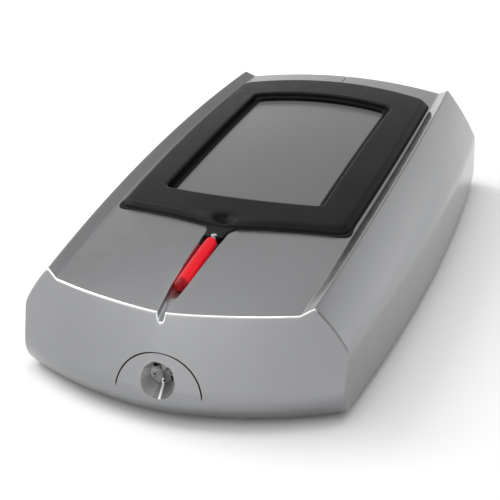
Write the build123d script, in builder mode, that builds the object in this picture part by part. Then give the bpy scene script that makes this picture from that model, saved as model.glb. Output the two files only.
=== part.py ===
from build123d import *
import os
from math import cos, radians, sin, tan

# Wall-mounted RFID card reader. +Z points away from the wall, +Y towards the reader's top end.
# The origin lies in the wall plane, under the middle of the reader. Millimetres.

# ---------------------------------------------------------------- driving dimensions
WALL = 2.6                 # wall thickness of the cast cover
COVER_BOTTOM = 0.4         # the cover's rim stays this far off the wall
SHELL_STATIONS = range(-90, 91, 18)
RAIL_END_Y = 62.7          # the side rails end this far from the middle
RAIL_WIDTH = 2.6           # inner slope of a side rail, across
RAIL_HEIGHT = 1.5          # inner slope of a side rail, high
FACE_CROWN = 1.75          # the top face is crowned across
FRONT_ROLL = 0.84          # extra drop of the face at its bottom end
FRONT_ROLL_START = -45.0
SIDE_ROUND = 2.5           # rounding under the long sides
WAIST_ROUND = 3.0          # soft crease between the two side facets
FACET_BULGE = 7.0          # degrees that the upper side facet starts steeper than its chord

DRAFT = 15.6               # lean of the two end walls, degrees
FRONT_TOP_Y = -70.85       # bottom end wall, at the middle of its top edge
FRONT_TOP_Z = 23.3
FRONT_POINT_RADIUS = 42    # softens the shallow point in the middle of the bottom end
FAR_TOP_Y = 66.0           # top end wall, at the middle of its top edge
FAR_TOP_Z = 28.6
END_ROUND = 6.0            # rolled lower edge of the end walls
END_BLOCK_HEIGHT = 40.0
LIP_REACH = 7.1            # how far the rolled edges reach in under the cover
SIDE_GAP = 0.6             # between the wall plate and the cover
RIM_RELIEF = 0.3           # the cover's side walls are this much thinner along the rim

REBATE_TOP = 0.6           # the wall gasket's rebate around the back of the wall plate
REBATE_WIDTH = 7.0
PLATE_TOP = 3.0
RIM_TOP = 4.6

BEZEL_HEIGHT = 1.75        # the bezel's land above the face
GASKET_THICKNESS = 0.3
BEZEL_NEAR_Y = -31.0       # bezel corners
BEZEL_FAR_Y = 51.8
BEZEL_NEAR_POINT = 6.8     # how far the near edge's point stands out
BEZEL_FAR_BOW = 4.1
BEZEL_HALF_WIDTH = 26.6
BEZEL_SIDE_BOW = 0.7
WINDOW_HALF_WIDTH = 17.2
WINDOW_NEAR_Y = -22.0
WINDOW_FAR_Y = 39.3
WINDOW_BOW = 2.2
WINDOW_STEP = 1.6          # stepped inner edge of the bezel, across
WINDOW_STEP_LEVEL = 0.9    # that step's height above the face
WINDOW_DROP = 0.15         # window plate below the face
WINDOW_THICKNESS = 1.6
SKIRT_HALF_WIDTH = 21.3
SKIRT_NEAR_Y = -28.0
SKIRT_FAR_Y = 47.0
SKIRT_DEPTH = 2.9
POCKET_MARGIN = 2.0        # window plate's hidden margin under the bezel
FIT_GAP = 0.15             # small clearance between moulded pieces

GROOVE_WIDE = 2.25         # half width at the stem
GROOVE_NARROW = 1.1        # half width at the bottom end
GROOVE_DEPTH = 1.9
STEM_END_Y = -42.0
PIPE_RADIUS = 1.3
PIPE_TOP_Y = -43.5
PIPE_LOW_Y = -60.4
PIPE_SINK = 0.5           # pipe axis below the face
LENS_Y = -40.6
LENS_RADIUS = 0.8

HINGE_Y = 65.4
HINGE_Z = 6.4
PIN_RADIUS = 1.2
PIN_FIT = 0.05
HOOK_X = 12.0
PIN_LUG_X = 20.0

SCREW_Z = 10.2
SCREW_RADIUS = 1.5
SCREW_HEAD_RADIUS = 2.42
RECESS_RADIUS = 3.8
RECESS_FLOOR_RADIUS = 2.5
ARCH_RADIUS = 9.35         # middle of the arched seam around the lock lug
ARCH_Z = 5.9
ARCH_GAP = 0.15            # half of the seam
LUG_BACK_Y = -69.65
TAB_FRONT_Y = -69.5
TAB_BACK_Y = -67.5
NUT_HALF = 2.75
NUT_FRONT_Y = -67.35
NUT_THICKNESS = 2.4
NUT_TRAVEL = 1.4
FOOT_TOP = 4.6

BOARD_Z = 12.0
BOARD_THICKNESS = 1.6
BOARD_SCREWS = [(-24.2, -22.0), (24.2, -22.0), (-24.2, 40.0), (24.2, 40.0)]
ANTENNA_Z = 20.2
LED_BOARD_Z = 17.6
LED_BOARD_THICKNESS = 1.2
LED_SCREWS = [(-6.0, -52.0), (6.0, -52.0)]
LED_ROW_Y = [-58.0, -53.0, -48.0]
TAMPER_AT = (-10.0, -6.0)
CABLE_AT = (0.0, 22.0)
CABLE_HOLE = 8.0           # hole in the wall plate, radius
GROMMET_BORE = 4.0
BOX_SPACING = 83.3         # wall box screw holes
BOX_HOLE_RADIUS = 2.2
CORNER_SPACING_X = 50.0
CORNER_SPACING_Y = 92.0
CORNER_HOLE_RADIUS = 2.25


# ---------------------------------------------------------------- shape of the housing
def along(y):
    return y / RAIL_END_Y


def crest_half(y):
    return 28.83 + 1.63 * (1 - along(y) ** 2) + 0.37 * (1 + along(y))


def crest_height(y):
    return 26.5 + 1.75 * (1 - along(y) ** 2) + 1.95 * along(y)


def face_half(y):
    return crest_half(y) - RAIL_WIDTH


def face_edge(y):
    return crest_height(y) - RAIL_HEIGHT


def face_middle(y):
    roll = max(0.0, FRONT_ROLL_START - y) / (FRONT_ROLL_START - FRONT_TOP_Y)
    return face_edge(y) + FACE_CROWN - FRONT_ROLL * roll ** 2


def base_half(y):
    return 39.7 - 0.000744 * (y - 12.0) ** 2


def waist_height(y):
    return 15.0 + 0.8 * (1 - along(y) ** 2)


def front_sag(x):
    return 0.0467 * x + 0.008 * x ** 2


def far_sag(x):
    return 0.00377 * x ** 2


def front_wall(z):
    """Y of the bottom end wall at height z, in the middle."""
    return FRONT_TOP_Y - (FRONT_TOP_Z - z) * tan(radians(DRAFT))


def far_wall(z):
    """Y of the top end wall at height z, in the middle."""
    return FAR_TOP_Y + (FAR_TOP_Z - z) * tan(radians(DRAFT))


def housing_section(y):
    """Outer cross-section of the cover: rolled foot, two side facets, rails and crowned face."""
    base = base_half(y)
    waist = waist_height(y)
    crest = Vector(crest_half(y), crest_height(y))
    chord = (crest - Vector(base, waist)).normalized()
    facet = chord.rotate(Axis.Z, -FACET_BULGE)
    waist_end = Vector(base, waist) + facet * WAIST_ROUND
    corner = SIDE_ROUND * (1 - sin(radians(45)))
    with BuildSketch(Plane.XZ.offset(-y)) as section:
        with BuildLine():
            Line((-base + SIDE_ROUND, COVER_BOTTOM), (base - SIDE_ROUND, COVER_BOTTOM))
            for side in (-1, 1):
                ThreePointArc(
                    (side * (base - SIDE_ROUND), COVER_BOTTOM),
                    (side * (base - corner), COVER_BOTTOM + corner),
                    (side * base, COVER_BOTTOM + SIDE_ROUND),
                )
                Line((side * base, COVER_BOTTOM + SIDE_ROUND), (side * base, waist - WAIST_ROUND))
                TangentArc(
                    (side * base, waist - WAIST_ROUND),
                    (side * waist_end.X, waist_end.Y),
                    tangent=(0, 1),
                )
                TangentArc(
                    (side * waist_end.X, waist_end.Y),
                    (side * crest.X, crest.Y),
                    tangent=(side * facet.X, facet.Y),
                )
                Line((side * crest.X, crest.Y), (side * face_half(y), face_edge(y)))
            ThreePointArc((-face_half(y), face_edge(y)), (0, face_middle(y)), (face_half(y), face_edge(y)))
        make_face()
    return section.sketch


def cavity_section(y):
    """Inner cross-section of the cover."""
    side_half = base_half(y) - WALL
    roof_half = face_half(y) - 0.4
    with BuildSketch(Plane.XZ.offset(-y)) as section:
        with BuildLine():
            Line((-side_half, COVER_BOTTOM + WALL), (side_half, COVER_BOTTOM + WALL))
            for side in (-1, 1):
                Polyline(
                    (side * side_half, COVER_BOTTOM + WALL),
                    (side * side_half, waist_height(y) - 1),
                    (side * roof_half, face_edge(y) - WALL),
                )
            ThreePointArc(
                (-roof_half, face_edge(y) - WALL),
                (0, face_middle(y) - WALL),
                (roof_half, face_edge(y) - WALL),
            )
        make_face()
    return section.sketch


def face_slab_section(y, low, high):
    """Cross-section of a layer that follows the crowned face, from low to high above it."""
    half = face_half(y)
    with BuildSketch(Plane.XZ.offset(-y)) as section:
        with BuildLine():
            for level in (low, high):
                ThreePointArc(
                    (-half, face_edge(y) + level), (0, face_middle(y) + level), (half, face_edge(y) + level)
                )
            for side in (-1, 1):
                Line((side * half, face_edge(y) + low), (side * half, face_edge(y) + high))
        make_face()
    return section.sketch


def face_slab(low, high):
    with BuildPart() as slab:
        loft(sections=[face_slab_section(y, low, high) for y in SHELL_STATIONS])
    return slab.part


def end_outline(z, front_y, far_y):
    """Plan with the two end curves: a soft point at the bottom end and a bow at the top end."""
    reach = 50
    middle = 22
    with BuildSketch(Plane.XY.offset(z)) as outline:
        with BuildLine():
            for side in (-1, 1):
                ThreePointArc(
                    (0, front_y),
                    (side * middle, front_y + front_sag(middle)),
                    (side * reach, front_y + front_sag(reach)),
                )
                Line((side * reach, front_y + front_sag(reach)), (side * reach, far_y - far_sag(reach)))
            ThreePointArc((-reach, far_y - far_sag(reach)), (0, far_y), (reach, far_y - far_sag(reach)))
        make_face()
        fillet(outline.vertices().sort_by(Axis.Y)[0], radius=FRONT_POINT_RADIUS)
    return outline.sketch


def side_outline(z, inset):
    """Plan with the barrel-shaped long sides, moved in by inset."""
    with BuildSketch(Plane.XY.offset(z)) as outline:
        with BuildLine():
            for side in (-1, 1):
                ThreePointArc(
                    (side * (base_half(-90) - inset), -90),
                    (side * (base_half(12) - inset), 12),
                    (side * (base_half(114) - inset), 114),
                )
            for end in (-90, 114):
                Line((inset - base_half(end), end), (base_half(end) - inset, end))
        make_face()
    return outline.sketch


def end_block(z, front_y, far_y, rounding):
    """Block with the two leaning end walls and their rolled lower edges."""
    with BuildPart() as block:
        lean = END_BLOCK_HEIGHT * tan(radians(DRAFT))
        upper_outline = end_outline(z + END_BLOCK_HEIGHT, front_y + lean, far_y - lean)
        loft(sections=[end_outline(z, front_y, far_y), upper_outline], ruled=True)
        lower = block.faces().sort_by(Axis.Z)[0].edges()
        fillet(lower.filter_by(GeomType.CIRCLE), radius=rounding)
    return block.part


def plan_block(low, high, front_y, far_y, side_inset):
    """Upright block in the reader's plan shape."""
    with BuildPart() as block:
        extrude(end_outline(low, front_y, far_y), amount=high - low, dir=(0, 0, 1))
        extrude(side_outline(low, side_inset), amount=high - low, dir=(0, 0, 1), mode=Mode.INTERSECT)
    return block.part


def groove_section(y):
    """U-shaped cross-section of the groove, which narrows towards the bottom end."""
    share = (y - STEM_END_Y) / (FRONT_TOP_Y - STEM_END_Y)
    half = GROOVE_WIDE + (GROOVE_NARROW - GROOVE_WIDE) * share
    floor = face_middle(y) - GROOVE_DEPTH
    with BuildSketch(Plane.XZ.offset(-y)) as section:
        with BuildLine():
            ThreePointArc((-half, floor + half), (0, floor), (half, floor + half))
            for side in (-1, 1):
                Line((side * half, floor + half), (side * half, floor + 6))
            Line((-half, floor + 6), (half, floor + 6))
        make_face()
    return section.sketch


def bezel_outline(z, grow):
    """Plan of the bezel: pointed near edge, bowed sides and bowed far edge."""
    near = BEZEL_NEAR_Y - grow
    far = BEZEL_FAR_Y + grow
    half = BEZEL_HALF_WIDTH + grow
    with BuildSketch(Plane.XY.offset(z)) as outline:
        with BuildLine():
            for side in (-1, 1):
                Line((0, near - BEZEL_NEAR_POINT), (side * half, near))
                ThreePointArc((side * half, near), (side * (half + BEZEL_SIDE_BOW), 10.4), (side * half, far))
            ThreePointArc((-half, far), (0, far + BEZEL_FAR_BOW), (half, far))
        make_face()
        fillet([v for v in outline.vertices() if abs(v.X) > 20], radius=2.8 + grow)
        fillet(outline.vertices().sort_by(Axis.Y)[0], radius=14)
    return outline.sketch


def window_outline(z, grow, far_grow=0.0):
    """Plan of the window opening, grown by grow on all sides and by far_grow at the far end."""
    near = WINDOW_NEAR_Y - grow
    far = WINDOW_FAR_Y + grow + far_grow
    half = WINDOW_HALF_WIDTH + grow
    with BuildSketch(Plane.XY.offset(z)) as outline:
        with BuildLine():
            ThreePointArc((-half, near), (0, near - WINDOW_BOW), (half, near))
            ThreePointArc((-half, far), (0, far + WINDOW_BOW), (half, far))
            for side in (-1, 1):
                Line((side * half, near), (side * half, far))
        make_face()
        fillet(outline.vertices(), radius=1.5)
    return outline.sketch


def skirt_block(margin):
    """Upright block in the plan shape of the bezel's skirt, grown by margin."""
    with BuildPart() as block:
        with BuildSketch(Plane.XY.offset(12)):
            with Locations((0, (SKIRT_NEAR_Y + SKIRT_FAR_Y) / 2)):
                RectangleRounded(
                    2 * (SKIRT_HALF_WIDTH + margin),
                    SKIRT_FAR_Y - SKIRT_NEAR_Y + 2 * margin,
                    2 + margin,
                )
        extrude(amount=30)
    return block.part


def arch_block(radius, back_y):
    """Arched block through the bottom end wall, for the lug and for its seam in the cover."""
    with BuildPart() as block:
        with BuildSketch(Plane.XZ.offset(85)):
            with Locations((0, ARCH_Z)):
                Circle(radius)
            with Locations((0, ARCH_Z - 5)):
                Rectangle(2 * radius, 10)
        extrude(amount=-(85 + back_y))
    return block.part


outer_ends = end_block(COVER_BOTTOM, front_wall(COVER_BOTTOM), far_wall(COVER_BOTTOM), END_ROUND)
inner_low = COVER_BOTTOM + WALL
inner_ends = end_block(
    inner_low, front_wall(inner_low) + WALL + 0.1, far_wall(inner_low) - WALL - 0.1, END_ROUND - WALL
)
opening_front = front_wall(COVER_BOTTOM) + LIP_REACH
opening_far = far_wall(COVER_BOTTOM) - LIP_REACH
under_opening = plan_block(
    COVER_BOTTOM - 2, inner_low + 0.2, opening_front, opening_far, WALL - RIM_RELIEF
)
plate_front = opening_front + SIDE_GAP
plate_far = opening_far - 3.8
plate_inset = WALL + SIDE_GAP

# ---------------------------------------------------------------- the cover's inside, as a solid
with BuildPart() as cavity:
    loft(sections=[cavity_section(y) for y in SHELL_STATIONS])
    add(inner_ends, mode=Mode.INTERSECT)

# ---------------------------------------------------------------- front cover
groove_floor_pad = face_slab(-4.2, -1.0)
scribe_layer = face_slab(-0.25, 3.0)
cover_skirt_opening = skirt_block(FIT_GAP)
cover_arch = arch_block(ARCH_RADIUS + ARCH_GAP, LUG_BACK_Y + 5)

with BuildPart() as pad:
    add(groove_floor_pad)
    with Locations((0, -51.5, 20)):
        Box(9, 31, 30, mode=Mode.INTERSECT)

with BuildPart() as scribe:
    add(scribe_layer)
    with Locations((0, 67, 30)):
        Box(0.3, 20, 30, mode=Mode.INTERSECT)

with BuildPart() as front_cover:
    loft(sections=[housing_section(y) for y in SHELL_STATIONS])
    add(outer_ends, mode=Mode.INTERSECT)
    add(cavity.part, mode=Mode.SUBTRACT)
    add(under_opening, mode=Mode.SUBTRACT)
    add(cover_skirt_opening, mode=Mode.SUBTRACT)
    add(cover_arch, mode=Mode.SUBTRACT)
    add(scribe.part, mode=Mode.SUBTRACT)
    add(pad.part)
    # bosses for the main board and the lamp board
    with Locations(*[(x, y, BOARD_Z + BOARD_THICKNESS) for x, y in BOARD_SCREWS]):
        Cylinder(2.2, 12.0, align=(Align.CENTER, Align.CENTER, Align.MIN))
    with Locations(*[(x, y, LED_BOARD_Z + LED_BOARD_THICKNESS) for x, y in LED_SCREWS]):
        Cylinder(1.8, 4.7, align=(Align.CENTER, Align.CENTER, Align.MIN))
    # tab that the clamp nut holds against the lock lug
    with Locations((0, (TAB_FRONT_Y + TAB_BACK_Y) / 2, 5.4)):
        Box(11, TAB_BACK_Y - TAB_FRONT_Y, 16, align=(Align.CENTER, Align.CENTER, Align.MIN))
    # lugs that carry the hinge pin
    for side in (-1, 1):
        with Locations((side * PIN_LUG_X, HINGE_Y - 1.9, HINGE_Z - 2.3)):
            Box(2.6, 5.6, 5.4, align=(Align.CENTER, Align.MIN, Align.MIN))
    # grooves, slots and holes
    loft(sections=[groove_section(y) for y in (-30, -42, -52, -62, -72, -82)], mode=Mode.SUBTRACT)
    with Locations((0, -53, 20)):
        Box(1.9, 17, 12, mode=Mode.SUBTRACT)
    with Locations((0, LENS_Y, 21)):
        Cylinder(LENS_RADIUS + 0.1, 12, mode=Mode.SUBTRACT)
    with Locations(*[(x, y, BOARD_Z + BOARD_THICKNESS) for x, y in BOARD_SCREWS]):
        Cylinder(1.25, 6, align=(Align.CENTER, Align.CENTER, Align.MIN), mode=Mode.SUBTRACT)
    with Locations(*[(x, y, LED_BOARD_Z + LED_BOARD_THICKNESS) for x, y in LED_SCREWS]):
        Cylinder(0.85, 3.4, align=(Align.CENTER, Align.CENTER, Align.MIN), mode=Mode.SUBTRACT)
    with Locations((0, HINGE_Y, HINGE_Z)):
        Cylinder(PIN_RADIUS, 60, rotation=(0, 90, 0), mode=Mode.SUBTRACT)
    with Locations((0, (TAB_FRONT_Y + TAB_BACK_Y) / 2, SCREW_Z)):
        Cylinder(SCREW_RADIUS + 0.25, 2.4, rotation=(90, 0, 0), mode=Mode.SUBTRACT)
        Box(2 * SCREW_RADIUS + 0.5, 2.4, 9, align=(Align.CENTER, Align.CENTER, Align.MAX), mode=Mode.SUBTRACT)

# ---------------------------------------------------------------- bezel, its gasket and the window
bezel_layer = face_slab(GASKET_THICKNESS, BEZEL_HEIGHT)
skirt_layer = face_slab(-SKIRT_DEPTH, GASKET_THICKNESS)
pocket_layer = face_slab(-SKIRT_DEPTH - 2, -WINDOW_DROP)
tongue_layer = face_slab(-1.3, 0.35)
flare_layer = face_slab(0.02, 0.35)
gasket_layer = face_slab(0, GASKET_THICKNESS)
step_layer = face_slab(WINDOW_STEP_LEVEL, BEZEL_HEIGHT + 2)
window_layer = face_slab(-WINDOW_DROP - WINDOW_THICKNESS, -WINDOW_DROP)
skirt_body = skirt_block(0)
peg_points = [(-20, -21), (20, -21), (-20, 37), (20, 37)]

with BuildPart() as frame_body:
    extrude(bezel_outline(12, 0), amount=30, dir=(0, 0, 1))
    add(bezel_layer, mode=Mode.INTERSECT)
    chamfer(frame_body.faces().sort_by(Axis.Z)[-1].edges(), length=1.1)

with BuildPart() as flare:
    with BuildSketch(Plane.XY.offset(12)):
        with BuildLine():
            for side in (-1, 1):
                ThreePointArc((side * 8.5, -34.5), (side * 3.6, -38.2), (side * 2.1, STEM_END_Y))
            Line((-8.5, -34.5), (8.5, -34.5))
            Line((-2.1, STEM_END_Y), (2.1, STEM_END_Y))
        make_face()
    extrude(amount=30)
    add(flare_layer, mode=Mode.INTERSECT)

with BuildPart() as tongue:
    with Locations((0, (STEM_END_Y - 37) / 2, 12)):
        Box(2.6, STEM_END_Y * -1 - 37, 30, align=(Align.CENTER, Align.CENTER, Align.MIN))
    add(tongue_layer, mode=Mode.INTERSECT)

with BuildPart() as skirt:
    add(skirt_body)
    add(skirt_layer, mode=Mode.INTERSECT)

with BuildPart() as window_pocket:
    extrude(window_outline(12, POCKET_MARGIN), amount=30, dir=(0, 0, 1))
    add(pocket_layer, mode=Mode.INTERSECT)

with BuildPart() as window_step:
    extrude(window_outline(12, WINDOW_STEP), amount=30, dir=(0, 0, 1))
    add(step_layer, mode=Mode.INTERSECT)

with BuildPart() as bezel:
    add(frame_body.part)
    add(skirt.part)
    add(flare.part)
    add(tongue.part)
    for x, y in peg_points:
        with Locations((x, y, ANTENNA_Z - 1.2)):
            Cylinder(1.0, 6.5, align=(Align.CENTER, Align.CENTER, Align.MIN))
    extrude(window_outline(10, 0), amount=36, dir=(0, 0, 1), mode=Mode.SUBTRACT)
    add(window_step.part, mode=Mode.SUBTRACT)
    add(window_pocket.part, mode=Mode.SUBTRACT)
    with Locations((0, LENS_Y, 21)):
        Cylinder(LENS_RADIUS + 0.05, 14, mode=Mode.SUBTRACT)

with BuildPart() as bezel_gasket:
    extrude(bezel_outline(12, 0.35), amount=30, dir=(0, 0, 1))
    add(gasket_layer, mode=Mode.INTERSECT)
    add(skirt_block(0.05), mode=Mode.SUBTRACT)
    with Locations((0, -40, 25)):
        Box(2 * GROOVE_WIDE + 0.4, 8, 30, mode=Mode.SUBTRACT)
    with BuildSketch(Plane.XY.offset(12)):
        with Locations((0, -38)):
            Rectangle(17.6, 8)
    extrude(amount=30, mode=Mode.SUBTRACT)

with BuildPart() as reader_window:
    extrude(window_outline(12, POCKET_MARGIN - 0.1), amount=30, dir=(0, 0, 1))
    add(window_layer, mode=Mode.INTERSECT)

# ---------------------------------------------------------------- light pipe and lens
pipe_points = [
    (0, y, face_middle(y) - PIPE_SINK) for y in (PIPE_TOP_Y, (PIPE_TOP_Y + PIPE_LOW_Y) / 2, PIPE_LOW_Y)
]

with BuildPart() as light_pipe:
    with BuildLine() as pipe_axis:
        ThreePointArc(*pipe_points)
    with BuildSketch(Plane(origin=pipe_axis.line @ 0, z_dir=pipe_axis.line % 0)):
        Circle(PIPE_RADIUS)
    sweep()
    with Locations(pipe_points[0], pipe_points[-1]):
        Sphere(PIPE_RADIUS)
    with Locations((0, -53, LED_BOARD_Z + LED_BOARD_THICKNESS + 1.0)):
        Box(1.6, 15, 5.5, align=(Align.CENTER, Align.CENTER, Align.MIN))

with BuildPart() as status_lens:
    lens_top = face_middle(LENS_Y) + 0.35
    with Locations((0, LENS_Y, LED_BOARD_Z + 2.2)):
        Cylinder(LENS_RADIUS, lens_top - LED_BOARD_Z - 2.2, align=(Align.CENTER, Align.CENTER, Align.MIN))
    with Locations((0, LENS_Y, lens_top)):
        Sphere(LENS_RADIUS)

# ---------------------------------------------------------------- hinge pin
with BuildPart() as hinge_pin:
    with Locations((0, HINGE_Y, HINGE_Z)):
        Cylinder(PIN_RADIUS, 2 * PIN_LUG_X + 4, rotation=(0, 90, 0))
    chamfer(hinge_pin.edges().filter_by(GeomType.CIRCLE), length=0.25)

# ---------------------------------------------------------------- wall plate
plate_rim = plan_block(PLATE_TOP, RIM_TOP, plate_front, plate_far, plate_inset)
plate_rim_inside = plan_block(PLATE_TOP, RIM_TOP, plate_front + 1.4, plate_far - 1.4, plate_inset + 1.4)
plate_sheet = plan_block(REBATE_TOP, PLATE_TOP, plate_front, plate_far, plate_inset)

plate_middle = plan_block(
    0, REBATE_TOP, plate_front + REBATE_WIDTH, plate_far - REBATE_WIDTH, plate_inset + REBATE_WIDTH
)

with BuildPart() as base_plate:
    add(plate_rim)
    add(plate_rim_inside, mode=Mode.SUBTRACT)
    with Locations((0, plate_front, PLATE_TOP)):
        Box(22, 12, 4, align=(Align.CENTER, Align.CENTER, Align.MIN), mode=Mode.SUBTRACT)
    add(plate_sheet)
    add(plate_middle)
    # hooks that hold the hinge pin
    for side in (-1, 1):
        with Locations((side * HOOK_X, HINGE_Y, HINGE_Z)):
            Cylinder(2.6, 5, rotation=(0, 90, 0))
        with Locations((side * HOOK_X, 57.2, HINGE_Z - 1.3)):
            Box(5, HINGE_Y - 57.2, 2.6, align=(Align.CENTER, Align.MIN, Align.MIN))
        with Locations((side * HOOK_X, 57.2, PLATE_TOP - 0.5)):
            Box(5, 3.2, HINGE_Z - PLATE_TOP + 1.8, align=(Align.CENTER, Align.MIN, Align.MIN))
    with Locations((0, HINGE_Y, HINGE_Z)):
        Cylinder(PIN_RADIUS + PIN_FIT, 40, rotation=(0, 90, 0), mode=Mode.SUBTRACT)
    for side in (-1, 1):
        with Locations((side * HOOK_X, HINGE_Y, HINGE_Z)):
            Box(
                7, 1.9, 5,
                align=(Align.CENTER, Align.CENTER, Align.MIN),
                rotation=(-30, 0, 0),
                mode=Mode.SUBTRACT,
            )
    # ring around the cable entry
    with Locations((*CABLE_AT, PLATE_TOP)):
        Cylinder(CABLE_HOLE + 2, 0.8, align=(Align.CENTER, Align.CENTER, Align.MIN))
    # stiffening ribs
    for side in (-1, 1):
        with Locations((side * 17, 0, PLATE_TOP)):
            Box(1.2, 84, 1.0, align=(Align.CENTER, Align.CENTER, Align.MIN))
    for y in (-30, 8, 42):
        with Locations((0, y, PLATE_TOP)):
            Box(32.8, 1.2, 1.0, align=(Align.CENTER, Align.CENTER, Align.MIN))
    with Locations((*CABLE_AT, 0)):
        Cylinder(CABLE_HOLE, 12, mode=Mode.SUBTRACT)
    with Locations((0, -BOX_SPACING / 2, 0), (0, BOX_SPACING / 2, 0)):
        Cylinder(BOX_HOLE_RADIUS, 20, mode=Mode.SUBTRACT)
    with GridLocations(CORNER_SPACING_X, CORNER_SPACING_Y, 2, 2):
        Cylinder(CORNER_HOLE_RADIUS, 20, mode=Mode.SUBTRACT)
    # pilot holes for the lug's screws
    with Locations((-6.8, -64.6, 0), (6.8, -64.6, 0)):
        Cylinder(1.0, 12, mode=Mode.SUBTRACT)

gasket_sheet = plan_block(0, REBATE_TOP, plate_front + 1, plate_far - 1, plate_inset + 1)
with BuildPart() as wall_gasket:
    add(gasket_sheet)
    add(plate_middle, mode=Mode.SUBTRACT)

with BuildPart() as cable_grommet:
    with Locations((*CABLE_AT, PLATE_TOP + 0.8)):
        Cylinder(CABLE_HOLE + 2, 1.2, align=(Align.CENTER, Align.CENTER, Align.MIN))
    with Locations((*CABLE_AT, 0)):
        Cylinder(CABLE_HOLE, PLATE_TOP + 0.8, align=(Align.CENTER, Align.CENTER, Align.MIN))
    with Locations((*CABLE_AT, 0)):
        Cylinder(GROMMET_BORE, 20, mode=Mode.SUBTRACT)

# ---------------------------------------------------------------- lock lug, screw and clamp nut
lug_arch = arch_block(ARCH_RADIUS - ARCH_GAP, LUG_BACK_Y)
recess_mouth_y = front_wall(SCREW_Z) - 1.0
recess_floor_y = front_wall(SCREW_Z) + 2.4
head_floor_y = recess_floor_y + 1.3

with BuildPart() as lock_lug:
    add(lug_arch)
    add(outer_ends, mode=Mode.INTERSECT)
    # foot on the wall plate and guides for the nut
    with Locations((0, LUG_BACK_Y - 1, PLATE_TOP)):
        Box(2 * ARCH_RADIUS - 1, 9.6, FOOT_TOP - PLATE_TOP, align=(Align.CENTER, Align.MIN, Align.MIN))
    for side in (-1, 1):
        with Locations((side * 3.7, -66.8, FOOT_TOP - 0.5)):
            Box(1.5, 4.6, 6.5, align=(Align.CENTER, Align.MIN, Align.MIN))
    with Locations((0, (recess_mouth_y + recess_floor_y) / 2, SCREW_Z)):
        Cone(
            RECESS_FLOOR_RADIUS, RECESS_RADIUS + 0.54, recess_floor_y - recess_mouth_y,
            rotation=(90, 0, 0), mode=Mode.SUBTRACT,
        )
    with Locations((0, (recess_floor_y + head_floor_y) / 2, SCREW_Z)):
        Cylinder(
            SCREW_HEAD_RADIUS + 0.08, head_floor_y - recess_floor_y + 0.02,
            rotation=(90, 0, 0), mode=Mode.SUBTRACT,
        )
    with Locations((0, LUG_BACK_Y, SCREW_Z)):
        Cylinder(SCREW_RADIUS + 0.07, 10, rotation=(90, 0, 0), mode=Mode.SUBTRACT)
    with Locations((-6.8, -64.6, PLATE_TOP), (6.8, -64.6, PLATE_TOP)):
        Cylinder(1.3, 10, mode=Mode.SUBTRACT)

with BuildPart() as lug_screws:
    with Locations((-6.8, -64.6, FOOT_TOP), (6.8, -64.6, FOOT_TOP)):
        Cylinder(2.0, 1.4, align=(Align.CENTER, Align.CENTER, Align.MIN))
    with Locations((-6.8, -64.6, 1.0), (6.8, -64.6, 1.0)):
        Cylinder(1.0, FOOT_TOP - 1.0, align=(Align.CENTER, Align.CENTER, Align.MIN))
    with Locations((-6.8, -64.6, FOOT_TOP + 1.4), (6.8, -64.6, FOOT_TOP + 1.4)):
        Box(0.5, 3.0, 1.2, mode=Mode.SUBTRACT)
        Box(3.0, 0.5, 1.2, mode=Mode.SUBTRACT)

screw_tail_y = -62.3
with BuildPart() as security_screw:
    with BuildSketch(Plane(origin=(0, recess_floor_y, SCREW_Z), z_dir=(0, 1, 0))):
        Circle(SCREW_HEAD_RADIUS)
    extrude(amount=head_floor_y - recess_floor_y - 0.02)
    with BuildSketch(Plane(origin=(0, recess_floor_y, SCREW_Z), z_dir=(0, 1, 0))):
        Circle(SCREW_RADIUS)
    extrude(amount=screw_tail_y - recess_floor_y)
    # dished head with a six-lobed socket around a security pin
    with Locations((0, recess_floor_y + 0.3, SCREW_Z)):
        Cone(1.2, SCREW_HEAD_RADIUS - 0.1, 0.6, rotation=(90, 0, 0), mode=Mode.SUBTRACT)
    with BuildSketch(Plane(origin=(0, recess_floor_y, SCREW_Z), z_dir=(0, 1, 0))):
        Circle(0.95)
        with PolarLocations(0.95, 6):
            Circle(0.3)
        Circle(0.36, mode=Mode.SUBTRACT)
    extrude(amount=1.7, mode=Mode.SUBTRACT)

with BuildPart() as end_clip:
    with BuildSketch(Plane(origin=(0, -63.35, SCREW_Z), z_dir=(0, 1, 0))):
        Circle(2.6)
        Circle(SCREW_RADIUS, mode=Mode.SUBTRACT)
        with Locations((2.2, 0)):
            Rectangle(2.4, 1.4, mode=Mode.SUBTRACT)
    extrude(amount=0.6)

with BuildPart() as clamp_nut:
    with BuildSketch(Plane(origin=(0, NUT_FRONT_Y, SCREW_Z), z_dir=(0, 1, 0))):
        Rectangle(2 * NUT_HALF, 2 * NUT_HALF)
        Circle(SCREW_RADIUS + 0.05, mode=Mode.SUBTRACT)
    extrude(amount=NUT_THICKNESS)
    chamfer(clamp_nut.edges().filter_by(Axis.Y), length=0.4)

# ---------------------------------------------------------------- antenna under the window
with BuildPart() as antenna_board:
    with BuildSketch(Plane.XY.offset(ANTENNA_Z)):
        with Locations((0, 8)):
            RectangleRounded(42.4, 66, 1.5)
            RectangleRounded(26, 48, 3, mode=Mode.SUBTRACT)
        with Locations(*peg_points):
            Circle(1.05, mode=Mode.SUBTRACT)
    extrude(amount=1.0)

with BuildPart() as antenna_coil:
    for turn in range(4):
        with BuildSketch(Plane.XY.offset(ANTENNA_Z + 1.0)):
            with Locations((0, 8)):
                RectangleRounded(36.6 - 2 * turn, 60.4 - 2 * turn, 2.5)
                RectangleRounded(35.6 - 2 * turn, 59.4 - 2 * turn, 2.0, mode=Mode.SUBTRACT)
        extrude(amount=0.12)
    with Locations((6, 8 - 28.2, ANTENNA_Z + 1.0)):
        Box(0.8, 4.0, 0.12, align=(Align.CENTER, Align.CENTER, Align.MIN))

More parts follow.
